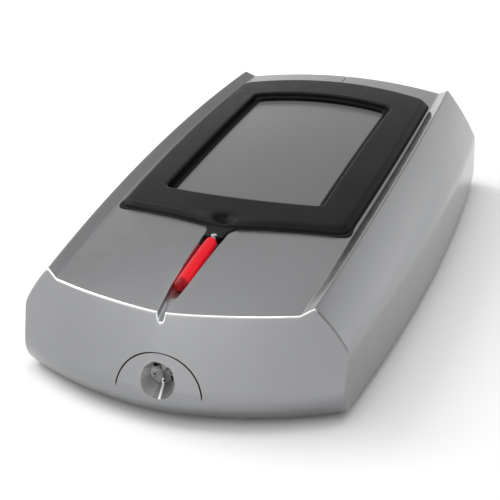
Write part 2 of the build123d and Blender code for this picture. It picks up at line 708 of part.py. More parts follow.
with BuildPart() as ferrite_sheet:
    with BuildSketch(Plane.XY.offset(ANTENNA_Z - 0.5)):
        with Locations((0, 8)):
            Rectangle(37, 61)
    extrude(amount=0.5)

# ---------------------------------------------------------------- main board and its parts
with BuildPart() as main_board:
    with BuildSketch(Plane.XY.offset(BOARD_Z)):
        with Locations((0, 7)):
            RectangleRounded(54, 74, 2)
        with Locations(*BOARD_SCREWS):
            Circle(1.3, mode=Mode.SUBTRACT)
    extrude(amount=BOARD_THICKNESS)

with BuildPart() as board_screws:
    for x, y in BOARD_SCREWS:
        with Locations((x, y, BOARD_Z)):
            Cylinder(2.2, 1.5, align=(Align.CENTER, Align.CENTER, Align.MAX))
            Cylinder(1.2, 6.5, align=(Align.CENTER, Align.CENTER, Align.MIN))
        with Locations((x, y, BOARD_Z - 1.5)):
            Box(0.6, 3.2, 1.4, mode=Mode.SUBTRACT)
            Box(3.2, 0.6, 1.4, mode=Mode.SUBTRACT)


def chip(width, length, height, x, y, face):
    """Chip with its leads on one side of the main board: face +1 is the top, -1 the underside."""
    surface = BOARD_Z + BOARD_THICKNESS if face > 0 else BOARD_Z
    middle = surface + face * (0.1 + height / 2)
    with BuildPart() as package:
        with Locations((x, y, middle)):
            Box(width, length, height)
        with Locations((x, y, surface + face * 0.2)):
            with GridLocations(1.27, 0, int(width / 1.27), 1):
                Box(0.45, length + 2, 0.4)
    return package.part


with BuildPart() as processor_chip:
    add(chip(10, 10, 1.3, -12, 16, 1))

with BuildPart() as radio_chip:
    add(chip(6.4, 6.4, 1.1, 6, 4, 1))

with BuildPart() as crystal:
    with BuildSketch(Plane.XY.offset(BOARD_Z + BOARD_THICKNESS)):
        with Locations((6, 14)):
            SlotOverall(10.5, 4.2)
    extrude(amount=3.2)
    fillet(crystal.faces().sort_by(Axis.Z)[-1].edges(), radius=0.5)

with BuildPart() as board_components:
    with Locations((12, 30, BOARD_Z + BOARD_THICKNESS)):
        with GridLocations(4, 5, 4, 3):
            Box(1.6, 0.9, 0.6, align=(Align.CENTER, Align.CENTER, Align.MIN))

block_y = -18.0
with BuildPart() as terminal_block:
    with Locations((0, block_y, BOARD_Z)):
        Box(30.5, 8.0, 8.0, align=(Align.CENTER, Align.CENTER, Align.MAX))
    with Locations(*[(x * 5.08, block_y - 2.5, BOARD_Z - 5.2) for x in (-2.5, -1.5, -0.5, 0.5, 1.5, 2.5)]):
        Box(3.2, 4.5, 3.4, mode=Mode.SUBTRACT)
    with Locations(*[(x * 5.08, block_y + 1.6, BOARD_Z - 8.0) for x in (-2.5, -1.5, -0.5, 0.5, 1.5, 2.5)]):
        Cylinder(1.75, 4.0, mode=Mode.SUBTRACT)

with BuildPart() as terminal_screws:
    with Locations(*[(x * 5.08, block_y + 1.6, BOARD_Z - 7.6) for x in (-2.5, -1.5, -0.5, 0.5, 1.5, 2.5)]):
        Cylinder(1.6, 1.5, align=(Align.CENTER, Align.CENTER, Align.MIN))
        Box(0.5, 4, 1.0, mode=Mode.SUBTRACT)

with BuildPart() as buzzer:
    with Locations((16, 24, BOARD_Z)):
        Cylinder(6, 6.2, align=(Align.CENTER, Align.CENTER, Align.MAX))
        Cylinder(1, 6.2, align=(Align.CENTER, Align.CENTER, Align.MAX), mode=Mode.SUBTRACT)
    fillet(buzzer.faces().sort_by(Axis.Z)[0].edges(), radius=0.4)

with BuildPart() as tamper_switch:
    with Locations((*TAMPER_AT, BOARD_Z)):
        Box(6.2, 6.2, 3.6, align=(Align.CENTER, Align.CENTER, Align.MAX))
        Cylinder(1.35, 3.6, align=(Align.CENTER, Align.CENTER, Align.MAX), mode=Mode.SUBTRACT)

with BuildPart() as tamper_plunger:
    with Locations((*TAMPER_AT, PLATE_TOP + 0.15)):
        Cylinder(1.3, 6.4, align=(Align.CENTER, Align.CENTER, Align.MIN))
    fillet(tamper_plunger.faces().sort_by(Axis.Z)[0].edges(), radius=0.5)

# ---------------------------------------------------------------- lamp board
with BuildPart() as led_board:
    with BuildSketch(Plane.XY.offset(LED_BOARD_Z)):
        with Locations((0, -50.5)):
            RectangleRounded(17, 25, 1.2)
        with Locations(*LED_SCREWS):
            Circle(0.95, mode=Mode.SUBTRACT)
    extrude(amount=LED_BOARD_THICKNESS)

with BuildPart() as status_leds:
    with Locations(*[(0, y, LED_BOARD_Z + LED_BOARD_THICKNESS) for y in LED_ROW_Y]):
        Box(1.6, 3.2, 0.8, align=(Align.CENTER, Align.CENTER, Align.MIN))

with BuildPart() as photo_sensor:
    with Locations((0, LENS_Y, LED_BOARD_Z + LED_BOARD_THICKNESS)):
        Box(2.0, 2.4, 0.8, align=(Align.CENTER, Align.CENTER, Align.MIN))

with BuildPart() as led_board_screws:
    for x, y in LED_SCREWS:
        with Locations((x, y, LED_BOARD_Z)):
            Cylinder(1.6, 1.1, align=(Align.CENTER, Align.CENTER, Align.MAX))
            Cylinder(0.8, 4.2, align=(Align.CENTER, Align.CENTER, Align.MIN))
        with Locations((x, y, LED_BOARD_Z - 1.1)):
            Box(0.4, 2.2, 1.0, mode=Mode.SUBTRACT)
            Box(2.2, 0.4, 1.0, mode=Mode.SUBTRACT)

# ---------------------------------------------------------------- one STEP file for each piece
pieces = {
    "front_cover": front_cover,
    "bezel": bezel,
    "bezel_gasket": bezel_gasket,
    "reader_window": reader_window,
    "light_pipe": light_pipe,
    "status_lens": status_lens,
    "hinge_pin": hinge_pin,
    "base_plate": base_plate,
    "wall_gasket": wall_gasket,
    "cable_grommet": cable_grommet,
    "lock_lug": lock_lug,
    "lug_screws": lug_screws,
    "security_screw": security_screw,
    "end_clip": end_clip,
    "clamp_nut": clamp_nut,
    "antenna_board": antenna_board,
    "antenna_coil": antenna_coil,
    "ferrite_sheet": ferrite_sheet,
    "main_board": main_board,
    "board_screws": board_screws,
    "processor_chip": processor_chip,
    "radio_chip": radio_chip,
    "crystal": crystal,
    "board_components": board_components,
    "terminal_block": terminal_block,
    "terminal_screws": terminal_screws,
    "buzzer": buzzer,
    "tamper_switch": tamper_switch,
    "tamper_plunger": tamper_plunger,
    "led_board": led_board,
    "status_leds": status_leds,
    "photo_sensor": photo_sensor,
    "led_board_screws": led_board_screws,
}

os.makedirs("parts", exist_ok=True)
for name, piece in pieces.items():
    piece.part.label = name
    export_step(piece.part, f"parts/{name}.step")
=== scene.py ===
from math import acos, atan, atan2, cos, pi, radians, sin, sqrt, tan

import bmesh
import bpy
from mathutils import Matrix, Vector


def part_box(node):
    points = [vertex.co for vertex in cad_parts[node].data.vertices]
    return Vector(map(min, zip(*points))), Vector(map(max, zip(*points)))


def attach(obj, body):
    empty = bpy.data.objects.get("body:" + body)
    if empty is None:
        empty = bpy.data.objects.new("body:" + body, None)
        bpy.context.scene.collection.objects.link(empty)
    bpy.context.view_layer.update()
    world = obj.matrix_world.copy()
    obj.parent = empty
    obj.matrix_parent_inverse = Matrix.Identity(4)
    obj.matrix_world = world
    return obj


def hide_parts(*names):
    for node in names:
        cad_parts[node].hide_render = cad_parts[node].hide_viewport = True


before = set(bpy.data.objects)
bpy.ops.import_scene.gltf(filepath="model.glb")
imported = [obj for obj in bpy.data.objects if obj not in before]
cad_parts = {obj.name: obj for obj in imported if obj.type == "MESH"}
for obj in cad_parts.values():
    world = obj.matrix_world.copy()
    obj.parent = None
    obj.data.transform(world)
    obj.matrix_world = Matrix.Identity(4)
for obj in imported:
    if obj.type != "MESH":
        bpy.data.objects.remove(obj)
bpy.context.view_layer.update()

MM = 0.001


# ---------------------------------------------------------------- camera
CAMERA_PLACE = Vector((89.6, -268.9, 141.5)) * MM
CAMERA_AZIMUTH = 19.7
CAMERA_ELEVATION = 25.85
CAMERA_ROLL = -0.89
CAMERA_LENS = 91.0


def make_camera():
    data = bpy.data.cameras.new("camera")
    data.lens = CAMERA_LENS
    data.clip_start = 0.01
    data.clip_end = 20
    camera = bpy.data.objects.new("camera", data)
    bpy.context.scene.collection.objects.link(camera)
    turn = Matrix.Rotation(radians(CAMERA_AZIMUTH), 4, "Z")
    tilt = Matrix.Rotation(radians(90 - CAMERA_ELEVATION), 4, "X")
    roll = Matrix.Rotation(radians(CAMERA_ROLL), 4, "Z")
    camera.matrix_world = Matrix.Translation(CAMERA_PLACE) @ turn @ tilt @ roll
    bpy.context.scene.camera = camera


# ---------------------------------------------------------------- light and floor
# grey level of the surroundings against height: 0 straight down, 0.5 the horizon, 1 straight up
SKY_LEVELS = (
    (0.0, 0.5), (0.49, 0.85), (0.52, 0.85), (0.6, 0.68), (0.72, 0.36), (0.85, 0.56), (0.93, 0.75), (1.0, 1.0),
)


def dot_with(nodes, links, place, direction):
    """The dot product of a vector socket with a fixed direction."""
    product = nodes.new("ShaderNodeVectorMath")
    product.operation = "DOT_PRODUCT"
    product.inputs[1].default_value = direction
    links.new(place, product.inputs[0])
    return product.outputs["Value"]


def scaled(nodes, links, value, factor, offset):
    """value times factor, plus offset."""
    node = nodes.new("ShaderNodeMath")
    node.operation = "MULTIPLY_ADD"
    node.inputs[1].default_value = factor
    node.inputs[2].default_value = offset
    links.new(value, node.inputs[0])
    return node.outputs[0]


def make_world():
    """Studio surroundings, brightest overhead, at the horizon and on the left, with a panel far right."""
    world = bpy.data.worlds.new("studio")
    world.use_nodes = True
    bpy.context.scene.world = world
    nodes, links = world.node_tree.nodes, world.node_tree.links
    coordinates = nodes.new("ShaderNodeTexCoord")
    parts = nodes.new("ShaderNodeSeparateXYZ")
    links.new(coordinates.outputs["Generated"], parts.inputs[0])
    ramp = nodes.new("ShaderNodeValToRGB")
    ramp.color_ramp.interpolation = "EASE"
    for position, level in SKY_LEVELS:
        if position in (0.0, 1.0):
            stop = ramp.color_ramp.elements[int(position)]
        else:
            stop = ramp.color_ramp.elements.new(position)
        stop.color = (level, level, level, 1)
    links.new(scaled(nodes, links, parts.outputs["Z"], 0.5, 0.5), ramp.inputs["Fac"])
    towards_left = dot_with(nodes, links, coordinates.outputs["Generated"], (-0.9, -0.43, 0))
    side = scaled(nodes, links, towards_left, 0.8, 1.55)
    towards_panel = dot_with(nodes, links, coordinates.outputs["Generated"], (0.66, 0.74, 0.12))
    panel = nodes.new("ShaderNodeMapRange")
    for socket, number in zip(("From Min", "From Max", "To Max"), (0.91, 0.99, 0.6)):
        panel.inputs[socket].default_value = number
    links.new(towards_panel, panel.inputs["Value"])
    strength = nodes.new("ShaderNodeMath")
    links.new(side, strength.inputs[0])
    links.new(panel.outputs["Result"], strength.inputs[1])
    links.new(ramp.outputs["Color"], nodes["Background"].inputs["Color"])
    links.new(strength.outputs[0], nodes["Background"].inputs["Strength"])


def make_softbox(name, place, size, power):
    """A square area light that faces the object."""
    light = bpy.data.lights.new(name, "AREA")
    light.shape = "RECTANGLE"
    light.size = size
    light.size_y = size
    light.energy = power
    lamp = bpy.data.objects.new(name, light)
    bpy.context.scene.collection.objects.link(lamp)
    lamp.location = place
    lamp.rotation_euler = (-Vector(place)).to_track_quat("-Z", "Y").to_euler()


FLOOR_REACH = 6.0
FLOOR_TONE = 0.78


def make_floor():
    """Plain pale floor, which ends far outside the view."""
    mesh = bpy.data.meshes.new("floor")
    shape = bmesh.new()
    bmesh.ops.create_grid(shape, x_segments=2, y_segments=2, size=FLOOR_REACH)
    shape.to_mesh(mesh)
    shape.free()
    floor = bpy.data.objects.new("floor", mesh)
    bpy.context.scene.collection.objects.link(floor)
    material = bpy.data.materials.new("floor_white")
    material.use_nodes = True
    shader = material.node_tree.nodes["Principled BSDF"]
    shader.inputs["Base Color"].default_value = (FLOOR_TONE, FLOOR_TONE, FLOOR_TONE, 1)
    shader.inputs["Roughness"].default_value = 0.9
    shader.inputs["Specular IOR Level"].default_value = 0.0
    mesh.materials.append(material)


# ---------------------------------------------------------------- materials
# The lock's conical recess: its axis is along Y, at SCREW_Z, and it narrows towards its floor.
SCREW_Z = 10.2
RECESS_FLOOR_Y = -71.9
RECESS_FLOOR_RADIUS = 2.5
RECESS_SLOPE = 0.541       # how fast the radius grows on the way out
RECESS_BACK_Y = -69.0      # how far in its painted reflections and rougher finish reach
RECESS_ROUGHNESS = 0.75
STREAK_LEAN = 0.18        # how far the painted highlight streak moves sideways for each step in z
# painted shade of small pits in the recess: x and z from the axis, and radius
PIT_SHADES = (
    (-1.2, 1.7, 0.42), (-0.3, 1.8, 0.24), (2.1, 0.4, 0.26),
    (2.5, -0.6, 0.44), (-1.5, -0.6, 0.18), (0.4, -1.8, 0.18),
)


class Surface:
    """A principled material whose detail is worked out from the object's own coordinates, in metres."""

    def __init__(self, name, metallic=0.0, **constants):
        self.material = bpy.data.materials.new(name)
        self.material.use_nodes = True
        self.nodes = self.material.node_tree.nodes
        self.links = self.material.node_tree.links
        self.shader = self.nodes["Principled BSDF"]
        self.shader.inputs["Metallic"].default_value = metallic
        for socket, value in constants.items():
            self.shader.inputs[socket.replace("_", " ")].default_value = value
        self.place = self.nodes.new("ShaderNodeTexCoord").outputs["Object"]

    def stretched(self, x, y, z):
        """Coordinates scaled along the axes, for grain with a direction."""
        mapping = self.nodes.new("ShaderNodeMapping")
        mapping.inputs["Scale"].default_value = (x, y, z)
        self.links.new(self.place, mapping.inputs["Vector"])
        return mapping.outputs["Vector"]

    def noise(self, size, detail=3.0, place=None, roughness=0.55):
        """Noise whose lumps are about size metres across, from 0 to 1."""
        node = self.nodes.new("ShaderNodeTexNoise")
        node.inputs["Scale"].default_value = 1 / size
        node.inputs["Detail"].default_value = detail
        node.inputs["Roughness"].default_value = roughness
        self.links.new(place or self.place, node.inputs["Vector"])
        return node.outputs["Fac"]

    def math(self, operation, first, second=0.0):
        node = self.nodes.new("ShaderNodeMath")
        node.operation = operation
        for socket, value in zip(node.inputs, (first, second)):
            if isinstance(value, (int, float)):
                socket.default_value = value
            else:
                self.links.new(value, socket)
        return node.outputs[0]

    def remap(self, value, low, high, to_low=0.0, to_high=1.0):
        node = self.nodes.new("ShaderNodeMapRange")
        self.links.new(value, node.inputs["Value"])
        for socket, number in zip(("From Min", "From Max", "To Min", "To Max"), (low, high, to_low, to_high)):
            node.inputs[socket].default_value = number
        return node.outputs["Result"]

    def mix(self, share, first, second):
        node = self.nodes.new("ShaderNodeMix")
        node.data_type = "RGBA"
        self.links.new(share, node.inputs["Factor"])
        for socket, colour in ((node.inputs[6], first), (node.inputs[7], second)):
            if isinstance(colour, tuple):
                socket.default_value = (*colour, 1)
            else:
                self.links.new(colour, socket)
        return node.outputs[2]

    def attribute(self, name):
        """A number stored on the mesh; 0 where the mesh has none."""
        node = self.nodes.new("ShaderNodeAttribute")
        node.attribute_name = name
        return node.outputs["Fac"]

    def length(self, across, up):
        """The distance from the axis, from its two parts."""
        squares = self.math("ADD", self.math("MULTIPLY", across, across), self.math("MULTIPLY", up, up))
        return self.math("SQRT", squares)

    def recess(self):
        """1 inside the lock's conical recess and 0 outside it, with x and z from the recess's axis, in mm."""
        parts = self.nodes.new("ShaderNodeSeparateXYZ")
        self.links.new(self.place, parts.inputs[0])
        x, y, z = (self.math("DIVIDE", parts.outputs[axis], MM) for axis in "XYZ")
        z = self.math("SUBTRACT", z, SCREW_Z)
        before_floor = self.math("MAXIMUM", self.math("SUBTRACT", RECESS_FLOOR_Y, y), 0.0)
        cone = self.math("ADD", self.math("MULTIPLY", before_floor, RECESS_SLOPE), RECESS_FLOOR_RADIUS)
        within = self.remap(self.math("SUBTRACT", cone, self.length(x, z)), -0.08, -0.03)
        return self.math("MULTIPLY", within, self.remap(y, RECESS_BACK_Y, RECESS_BACK_Y - 0.2)), x, z

    def painted_flat_reflections(self, inside, x, z, base):
        """Painted reflections of ground flats meeting at the recess's middle, a painted highlight streak and
        painted shade in a few pits, over the base.
        """
        reflection_sectors = self.nodes.new("ShaderNodeTexVoronoi")
        reflection_sectors.voronoi_dimensions = "1D"
        reflection_sectors.inputs["Scale"].default_value = 2.3
        self.links.new(self.math("ARCTAN2", z, x), reflection_sectors.inputs["W"])
        level = self.nodes.new("ShaderNodeSeparateColor")
        self.links.new(reflection_sectors.outputs["Color"], level.inputs[0])
        mottled = self.remap(self.noise(0.0008, 2), 0.3, 0.7, 0.9, 1.08)
        # painted reflection: each sector of the recess gets its own grey
        grey = self.math("MULTIPLY", self.remap(level.outputs[0], 0, 1, 0.15, 0.5), mottled)
        across = self.math("ADD", self.math("ADD", x, 0.13), self.math("MULTIPLY", z, STREAK_LEAN))
        highlight_streak = self.remap(self.math("ABSOLUTE", across), 0.32, 0.22)
        highlight_streak = self.math("MULTIPLY", highlight_streak, self.remap(z, -1.2, -1.4))
        grey = self.math("MAXIMUM", grey, self.math("MULTIPLY", highlight_streak, 0.8))
        # painted shade: dark spots where the pits are
        for pit_x, pit_z, radius in PIT_SHADES:
            away = self.length(self.math("SUBTRACT", x, pit_x), self.math("SUBTRACT", z, pit_z))
            grey = self.math("MULTIPLY", grey, self.remap(away, radius, 1.26 * radius, 0.02, 1.0))
        tone = self.nodes.new("ShaderNodeCombineColor")
        for socket in tone.inputs:
            self.links.new(grey, socket)
        return self.mix(inside, base, tone.outputs[0])

    def blended(self, share, first, second):
        """first where share is 0, second where it is 1."""
        node = self.nodes.new("ShaderNodeMix")
        self.links.new(share, node.inputs[0])
        self.links.new(first, node.inputs[2])
        node.inputs[3].default_value = second
        return node.outputs[0]

    def colour(self, value):
        self.links.new(value, self.shader.inputs["Base Color"])

    def roughness(self, value):
        self.links.new(value, self.shader.inputs["Roughness"])

    def bump(self, height, depth, strength=1.0):
        node = self.nodes.new("ShaderNodeBump")
        node.inputs["Strength"].default_value = strength
        node.inputs["Distance"].default_value = depth
        self.links.new(height, node.inputs["Height"])
        previous = self.shader.inputs["Normal"]
        if previous.is_linked:
            self.links.new(previous.links[0].from_socket, node.inputs["Normal"])
        self.links.new(node.outputs["Normal"], previous)


def housing_metal():
    """Satin silver finish, with a painted highlight along the bottom end's top edge and painted reflection
    streaks in the groove, rougher in the lock's recess with painted reflections there.
    """
    metal = Surface("housing_metal", metallic=0.9)
    cloud = metal.noise(0.03, 4)
    paint = metal.mix(metal.remap(cloud, 0.3, 0.7), (0.282, 0.286, 0.292), (0.3, 0.304, 0.31))
    # painted highlight and painted reflection streaks: colour brightened on the bottom end's top edge and in
    # the groove, where the mesh marks them
    highlighted = metal.attribute("painted_highlight")
    inside, x, z = metal.recess()
    metal.colour(metal.painted_flat_reflections(inside, x, z, metal.mix(highlighted, paint, (0.72, 0.73, 0.74))))
    satin = metal.remap(metal.noise(0.004, 5), 0.3, 0.7, 0.17, 0.23)
    metal.roughness(metal.blended(inside, satin, RECESS_ROUGHNESS))
    metal.bump(metal.noise(0.00035, 2), 0.000004)
    metal.bump(metal.noise(0.02, 2), 0.00002)
    return metal.material


def moulded(name, dark, light, rough_low, rough_high, grain=0.0003, depth=0.00001, **constants):
    """Moulded plastic or rubber: cloudy colour, spark-eroded grain, painted shade in hollows and painted
    sheen on ridges.
    """
    plastic = Surface(name, **constants)
    body = plastic.mix(plastic.remap(plastic.noise(0.012, 4), 0.3, 0.7), dark, light)
    # painted sheen and painted shade: colour made lighter and darker where the mesh marks them
    highlighted = plastic.mix(plastic.attribute("painted_highlight"), body, tuple(1.3 * level for level in light))
    plastic.colour(plastic.mix(plastic.attribute("shade"), highlighted, tuple(0.25 * level for level in dark)))
    rough = plastic.remap(plastic.noise(0.003, 4), 0.3, 0.7, rough_low, rough_high)
    plastic.roughness(rough)
    plastic.bump(plastic.noise(grain, 2), depth)
    return plastic.material


def bezel_plastic():
    return moulded(
        "bezel_plastic", (0.010, 0.010, 0.0103), (0.0135, 0.0135, 0.014), 0.3, 0.4, depth=0.000006, IOR=1.13,
    )


def window_plastic():
    return moulded(
        "window_plastic", (0.262, 0.266, 0.272), (0.275, 0.279, 0.285), 0.2, 0.24, 0.004, 0.000001, IOR=1.55,
    )


def red_light():
    """Diffusing red light pipe, lit from within: bright along its middle, deep red at its sides and end."""
    glow = Surface("red_light", Roughness=0.3, Emission_Strength=1.0, IOR=1.25)
    weight = glow.nodes.new("ShaderNodeLayerWeight")
    weight.inputs["Blend"].default_value = 0.4
    speckle = glow.remap(glow.noise(0.0007, 3), 0.3, 0.7, -0.07, 0.07)
    parts = glow.nodes.new("ShaderNodeSeparateXYZ")
    glow.links.new(glow.place, parts.inputs[0])
    slanted = glow.math("ADD", parts.outputs["Y"], glow.math("MULTIPLY", speckle, 0.004))
    unlit_end = glow.remap(slanted, -0.0588, -0.0602)
    edge = glow.math("ADD", weight.outputs["Facing"], speckle)
    dim = glow.math("MAXIMUM", edge, unlit_end)
    glow.colour(glow.mix(dim, (0.2, 0.002, 0.004), (0.12, 0.002, 0.003)))
    lit = glow.mix(dim, (0.86, 0.007, 0.022), (0.14, 0.002, 0.005))
    glow.links.new(lit, glow.shader.inputs["Emission Color"])
    glow.bump(glow.noise(0.0006, 2), 0.00001)
    return glow.material


def clear_plastic():
    """Frosted clear plastic."""
    clear = Surface("clear_plastic", Transmission_Weight=0.12, IOR=1.3)
    clear.colour(clear.mix(clear.noise(0.001, 2), (0.3, 0.31, 0.315), (0.38, 0.39, 0.395)))
    clear.roughness(clear.remap(clear.noise(0.0006, 3), 0.3, 0.7, 0.3, 0.4))
    clear.bump(clear.noise(0.0004, 2), 0.000004)
    return clear.material


def steel():
    """Drawn steel, brushed along X, with painted reflections of the lock's ground flats on the screw head."""
    metal = Surface("steel", metallic=1.0)
    brushed = metal.noise(0.0012, 4, metal.stretched(1, 12, 12))
    drawn = metal.mix(metal.remap(brushed, 0.3, 0.7), (0.42, 0.42, 0.43), (0.54, 0.54, 0.55))
    inside, x, z = metal.recess()
    metal.colour(metal.painted_flat_reflections(inside, x, z, drawn))
    satin = metal.remap(metal.noise(0.0015, 4), 0.3, 0.7, 0.22, 0.36)
    metal.roughness(metal.blended(inside, satin, RECESS_ROUGHNESS))
    metal.bump(brushed, 0.000008)
    return metal.material


def plate_plastic():
    return moulded("plate_plastic", (0.035, 0.036, 0.038), (0.055, 0.056, 0.06), 0.45, 0.6, 0.0005, 0.00002)


def rubber():
    dark, light = (0.008, 0.008, 0.009), (0.014, 0.014, 0.015)
    return moulded("rubber", dark, light, 0.65, 0.85, 0.0004, 0.00002, IOR=1.2)


def circuit_board():
    """Green solder mask over copper tracks, which show through as raised, lighter lines."""
    board = Surface("circuit_board", Coat_Weight=0.4, Coat_Roughness=0.15)
    brick = board.nodes.new("ShaderNodeTexBrick")
    brick.inputs["Scale"].default_value = 160
    brick.inputs["Mortar Size"].default_value = 0.09
    brick.inputs["Color1"].default_value = (0, 0, 0, 1)
    brick.inputs["Color2"].default_value = (0, 0, 0, 1)
    brick.inputs["Mortar"].default_value = (1, 1, 1, 1)
    board.links.new(board.place, brick.inputs["Vector"])
    patches = board.remap(board.noise(0.009, 0), 0.48, 0.5)
    tracks = board.math("MULTIPLY", brick.outputs["Fac"], patches)
    mask = board.mix(board.noise(0.01, 3), (0.006, 0.06, 0.028), (0.01, 0.085, 0.04))
    board.colour(board.mix(tracks, mask, (0.03, 0.16, 0.07)))
    board.roughness(board.remap(board.noise(0.002, 3), 0.3, 0.7, 0.3, 0.42))
    board.bump(tracks, 0.00004)
    return board.material


def copper():
    metal = Surface("copper", metallic=1.0)
    drawn = metal.noise(0.0008, 4)
    metal.colour(metal.mix(drawn, (0.72, 0.29, 0.13), (0.86, 0.42, 0.23)))
    metal.roughness(metal.remap(metal.noise(0.0009, 3), 0.3, 0.7, 0.22, 0.4))
    metal.bump(drawn, 0.000012)
    return metal.material


def ferrite():
    return moulded("ferrite", (0.03, 0.029, 0.028), (0.06, 0.058, 0.055), 0.5, 0.75, 0.0006, 0.00003)


def chip_plastic():
    return moulded("chip_plastic", (0.016, 0.016, 0.017), (0.03, 0.03, 0.032), 0.55, 0.7, 0.0002, 0.00001)


def terminal_plastic():
    return moulded("terminal_plastic", (0.01, 0.1, 0.05), (0.015, 0.14, 0.07), 0.35, 0.5, 0.0003, 0.00001)


def white_plastic():
    return moulded("white_plastic", (0.68, 0.67, 0.64), (0.78, 0.77, 0.75), 0.3, 0.45, 0.0003, 0.00001)


MATERIALS = {
    make.__name__: make()
    for make in (
        housing_metal, bezel_plastic, window_plastic, red_light, clear_plastic, steel, plate_plastic,
        rubber, circuit_board, copper, ferrite, chip_plastic, terminal_plastic, white_plastic,
    )
}


# ---------------------------------------------------------------- housing shape, in millimetres
WALL = 2.6
CREST_HALF, CREST_BOW, CREST_TAPER = 28.83, 1.63, 0.37         # the rails' crests, in plan
CREST_Z, CREST_ARCH, CREST_RISE = 26.5, 1.75, 1.95             # and from the side
BASE_HALF, BASE_BOW, BASE_WIDEST_Y = 39.7, 0.000744, 12
WAIST_Z, WAIST_ARCH = 15.0, 0.8
RIM_BOTTOM = 0.4537        # lowest line of the cover's rim
FOOT_Z = 0.4               # the walls' rounded feet start here
RIM_WIDTH = 2.0
RAIL_END_Y = 62.7
RAIL_WIDTH = 2.6
RAIL_HEIGHT = 1.5
FACE_CROWN = 1.75
ROLL_START_Y, ROLL_DROP = -45, 0.84        # the face rolls down towards the bottom end
END_LIFT = 0.42
DRAFT = tan(radians(15.6))
FRONT_TOP_Y, FRONT_TOP_Z = -70.85, 23.3
FAR_TOP_Y, FAR_TOP_Z = 66.0, 28.6
SAG_CENTRE_X, SAG_CENTRE_Y, SAG_RADIUS = 6.787, 82.33, 82.6075     # the arc in the bottom end wall's plan
END_ROUND = 6.0
OPENING_REACH = 7.1        # the underside's opening starts this far in from the foot of an end wall
SIDE_ROUND = 2.5
WAIST_ROUND = 1.3
FACET_BULGE = radians(6.0)
EDGE_ROUND = 0.35          # rounding of the housing's edges
STEM_END_Y = -42.0
GROOVE_HIGHLIGHT_Y = -56        # from here to the bottom end the groove has painted reflection streaks
GROOVE_WIDE, GROOVE_NARROW, GROOVE_DEPTH = 2.25, 1.1, 1.9
SCRIBE_WIDTH, SCRIBE_DEPTH = 0.16, 0.3
ARCH_RADIUS, ARCH_Z, ARCH_GAP = 9.35, 5.9, 0.15
SEAM_END_Z = 7.0           # below this the arch closes on the lug
SEAM_CLOSED = 0.305
OPENING_HALF, OPENING_NEAR_Y, OPENING_FAR_Y = 20.6, -27.2, 46.2
BOARD_BOSSES = ((-24.2, -22.0), (24.2, -22.0), (-24.2, 40.0), (24.2, 40.0))
LED_BOSSES = ((-6.0, -52.0), (6.0, -52.0))
SIDE_ROWS = 110
CAP_ROWS = 14
ROUND_ROWS = 5


def smooth(low, high, value):
    """0 below low, 1 above high, and a smooth step between them."""
    share = min(1.0, max(0.0, (value - low) / (high - low)))
    return share * share * (3 - 2 * share)


def blend(first, second, share):
    return tuple(a + (b - a) * share for a, b in zip(first, second))


def curve_point(start, corner, end, share):
    """Point on the quadratic curve from start to end that rounds off corner."""
    return blend(blend(start, corner, share), blend(corner, end, share), share)


def crest_half(y):
    along = y / RAIL_END_Y
    return CREST_HALF + CREST_BOW * (1 - along ** 2) + CREST_TAPER * (1 + along)


def crest_height(y):
    along = y / RAIL_END_Y
    return CREST_Z + CREST_ARCH * (1 - along ** 2) + CREST_RISE * along


def face_half(y):
    return crest_half(y) - RAIL_WIDTH


def end_lift(y):
    """The rails' inner slopes are a little lower at the bottom end."""
    return END_LIFT * (1 - smooth(-70, -48, y))


def face_edge(y):
    return crest_height(y) - RAIL_HEIGHT + end_lift(y)


def face_height(x, y):
    roll = max(0.0, ROLL_START_Y - y) / (ROLL_START_Y - FRONT_TOP_Y)
    crown = FACE_CROWN - ROLL_DROP * roll ** 2 - end_lift(y)
    return face_edge(y) + crown * (1 - (x / face_half(y)) ** 2)


def base_half(y):
    return BASE_HALF - BASE_BOW * (y - BASE_WIDEST_Y) ** 2


def waist_height(y):
    return WAIST_Z + WAIST_ARCH * (1 - (y / RAIL_END_Y) ** 2)


def front_sag(x):
    """How far the bottom end wall falls back at x, from a softened point in the middle.

    Round the lock it follows an arc, and further out it falls back a little more.
    """
    if abs(x) < 2.0:
        return 0.02675 * x * x + 0.082
    arc = SAG_CENTRE_Y - sqrt(SAG_RADIUS ** 2 - (abs(x) + SAG_CENTRE_X) ** 2)
    bow = 0.0467 * abs(x) + 0.008 * x * x
    return arc + (bow - arc) * smooth(12, 24, abs(x))


def far_sag(x):
    return 0.00377 * x * x


def rolled(z):
    """How far an end wall stands in from its foot at height z, with its lower edge rolled."""
    centre_in = END_ROUND / tan((pi / 2 - atan(DRAFT)) / 2)
    tangent_z = FOOT_Z + END_ROUND * (1 + sin(atan(DRAFT)))
    if z >= tangent_z:
        return (z - FOOT_Z) * DRAFT
    return centre_in - sqrt(max(0.0, END_ROUND ** 2 - (z - FOOT_Z - END_ROUND) ** 2))


FRONT_FOOT = FRONT_TOP_Y - (FRONT_TOP_Z - FOOT_Z) * DRAFT
FAR_FOOT = FAR_TOP_Y + (FAR_TOP_Z - FOOT_Z) * DRAFT


def front_wall(x, z):
    return FRONT_FOOT + rolled(z) + front_sag(x)


def far_wall(x, z):
    return FAR_FOOT - rolled(z) - far_sag(x)


def inner_front(x, z):
    inset = OPENING_REACH if z < 3.15 else rolled(z) + WALL + 0.1
    return FRONT_FOOT + inset + front_sag(x)


def inner_far(x, z):
    inset = OPENING_REACH if z < 3.15 else rolled(z) + WALL + 0.1
    return FAR_FOOT - inset - far_sag(x)


def groove_half(y):
    """Half width of the groove in the face, or of the scribed line at the top end."""
    share = min(1.0, max(0.0, (STEM_END_Y - y) / (STEM_END_Y - FRONT_TOP_Y)))
    half = GROOVE_WIDE + (GROOVE_NARROW - GROOVE_WIDE) * share - 0.4 * share ** 6
    return half + (SCRIBE_WIDTH - half) * smooth(20, 48, y)


def groove_depth(y):
    return GROOVE_DEPTH * (1 - smooth(-39.5, -37.5, y)) + SCRIBE_DEPTH * smooth(48, 50, y)


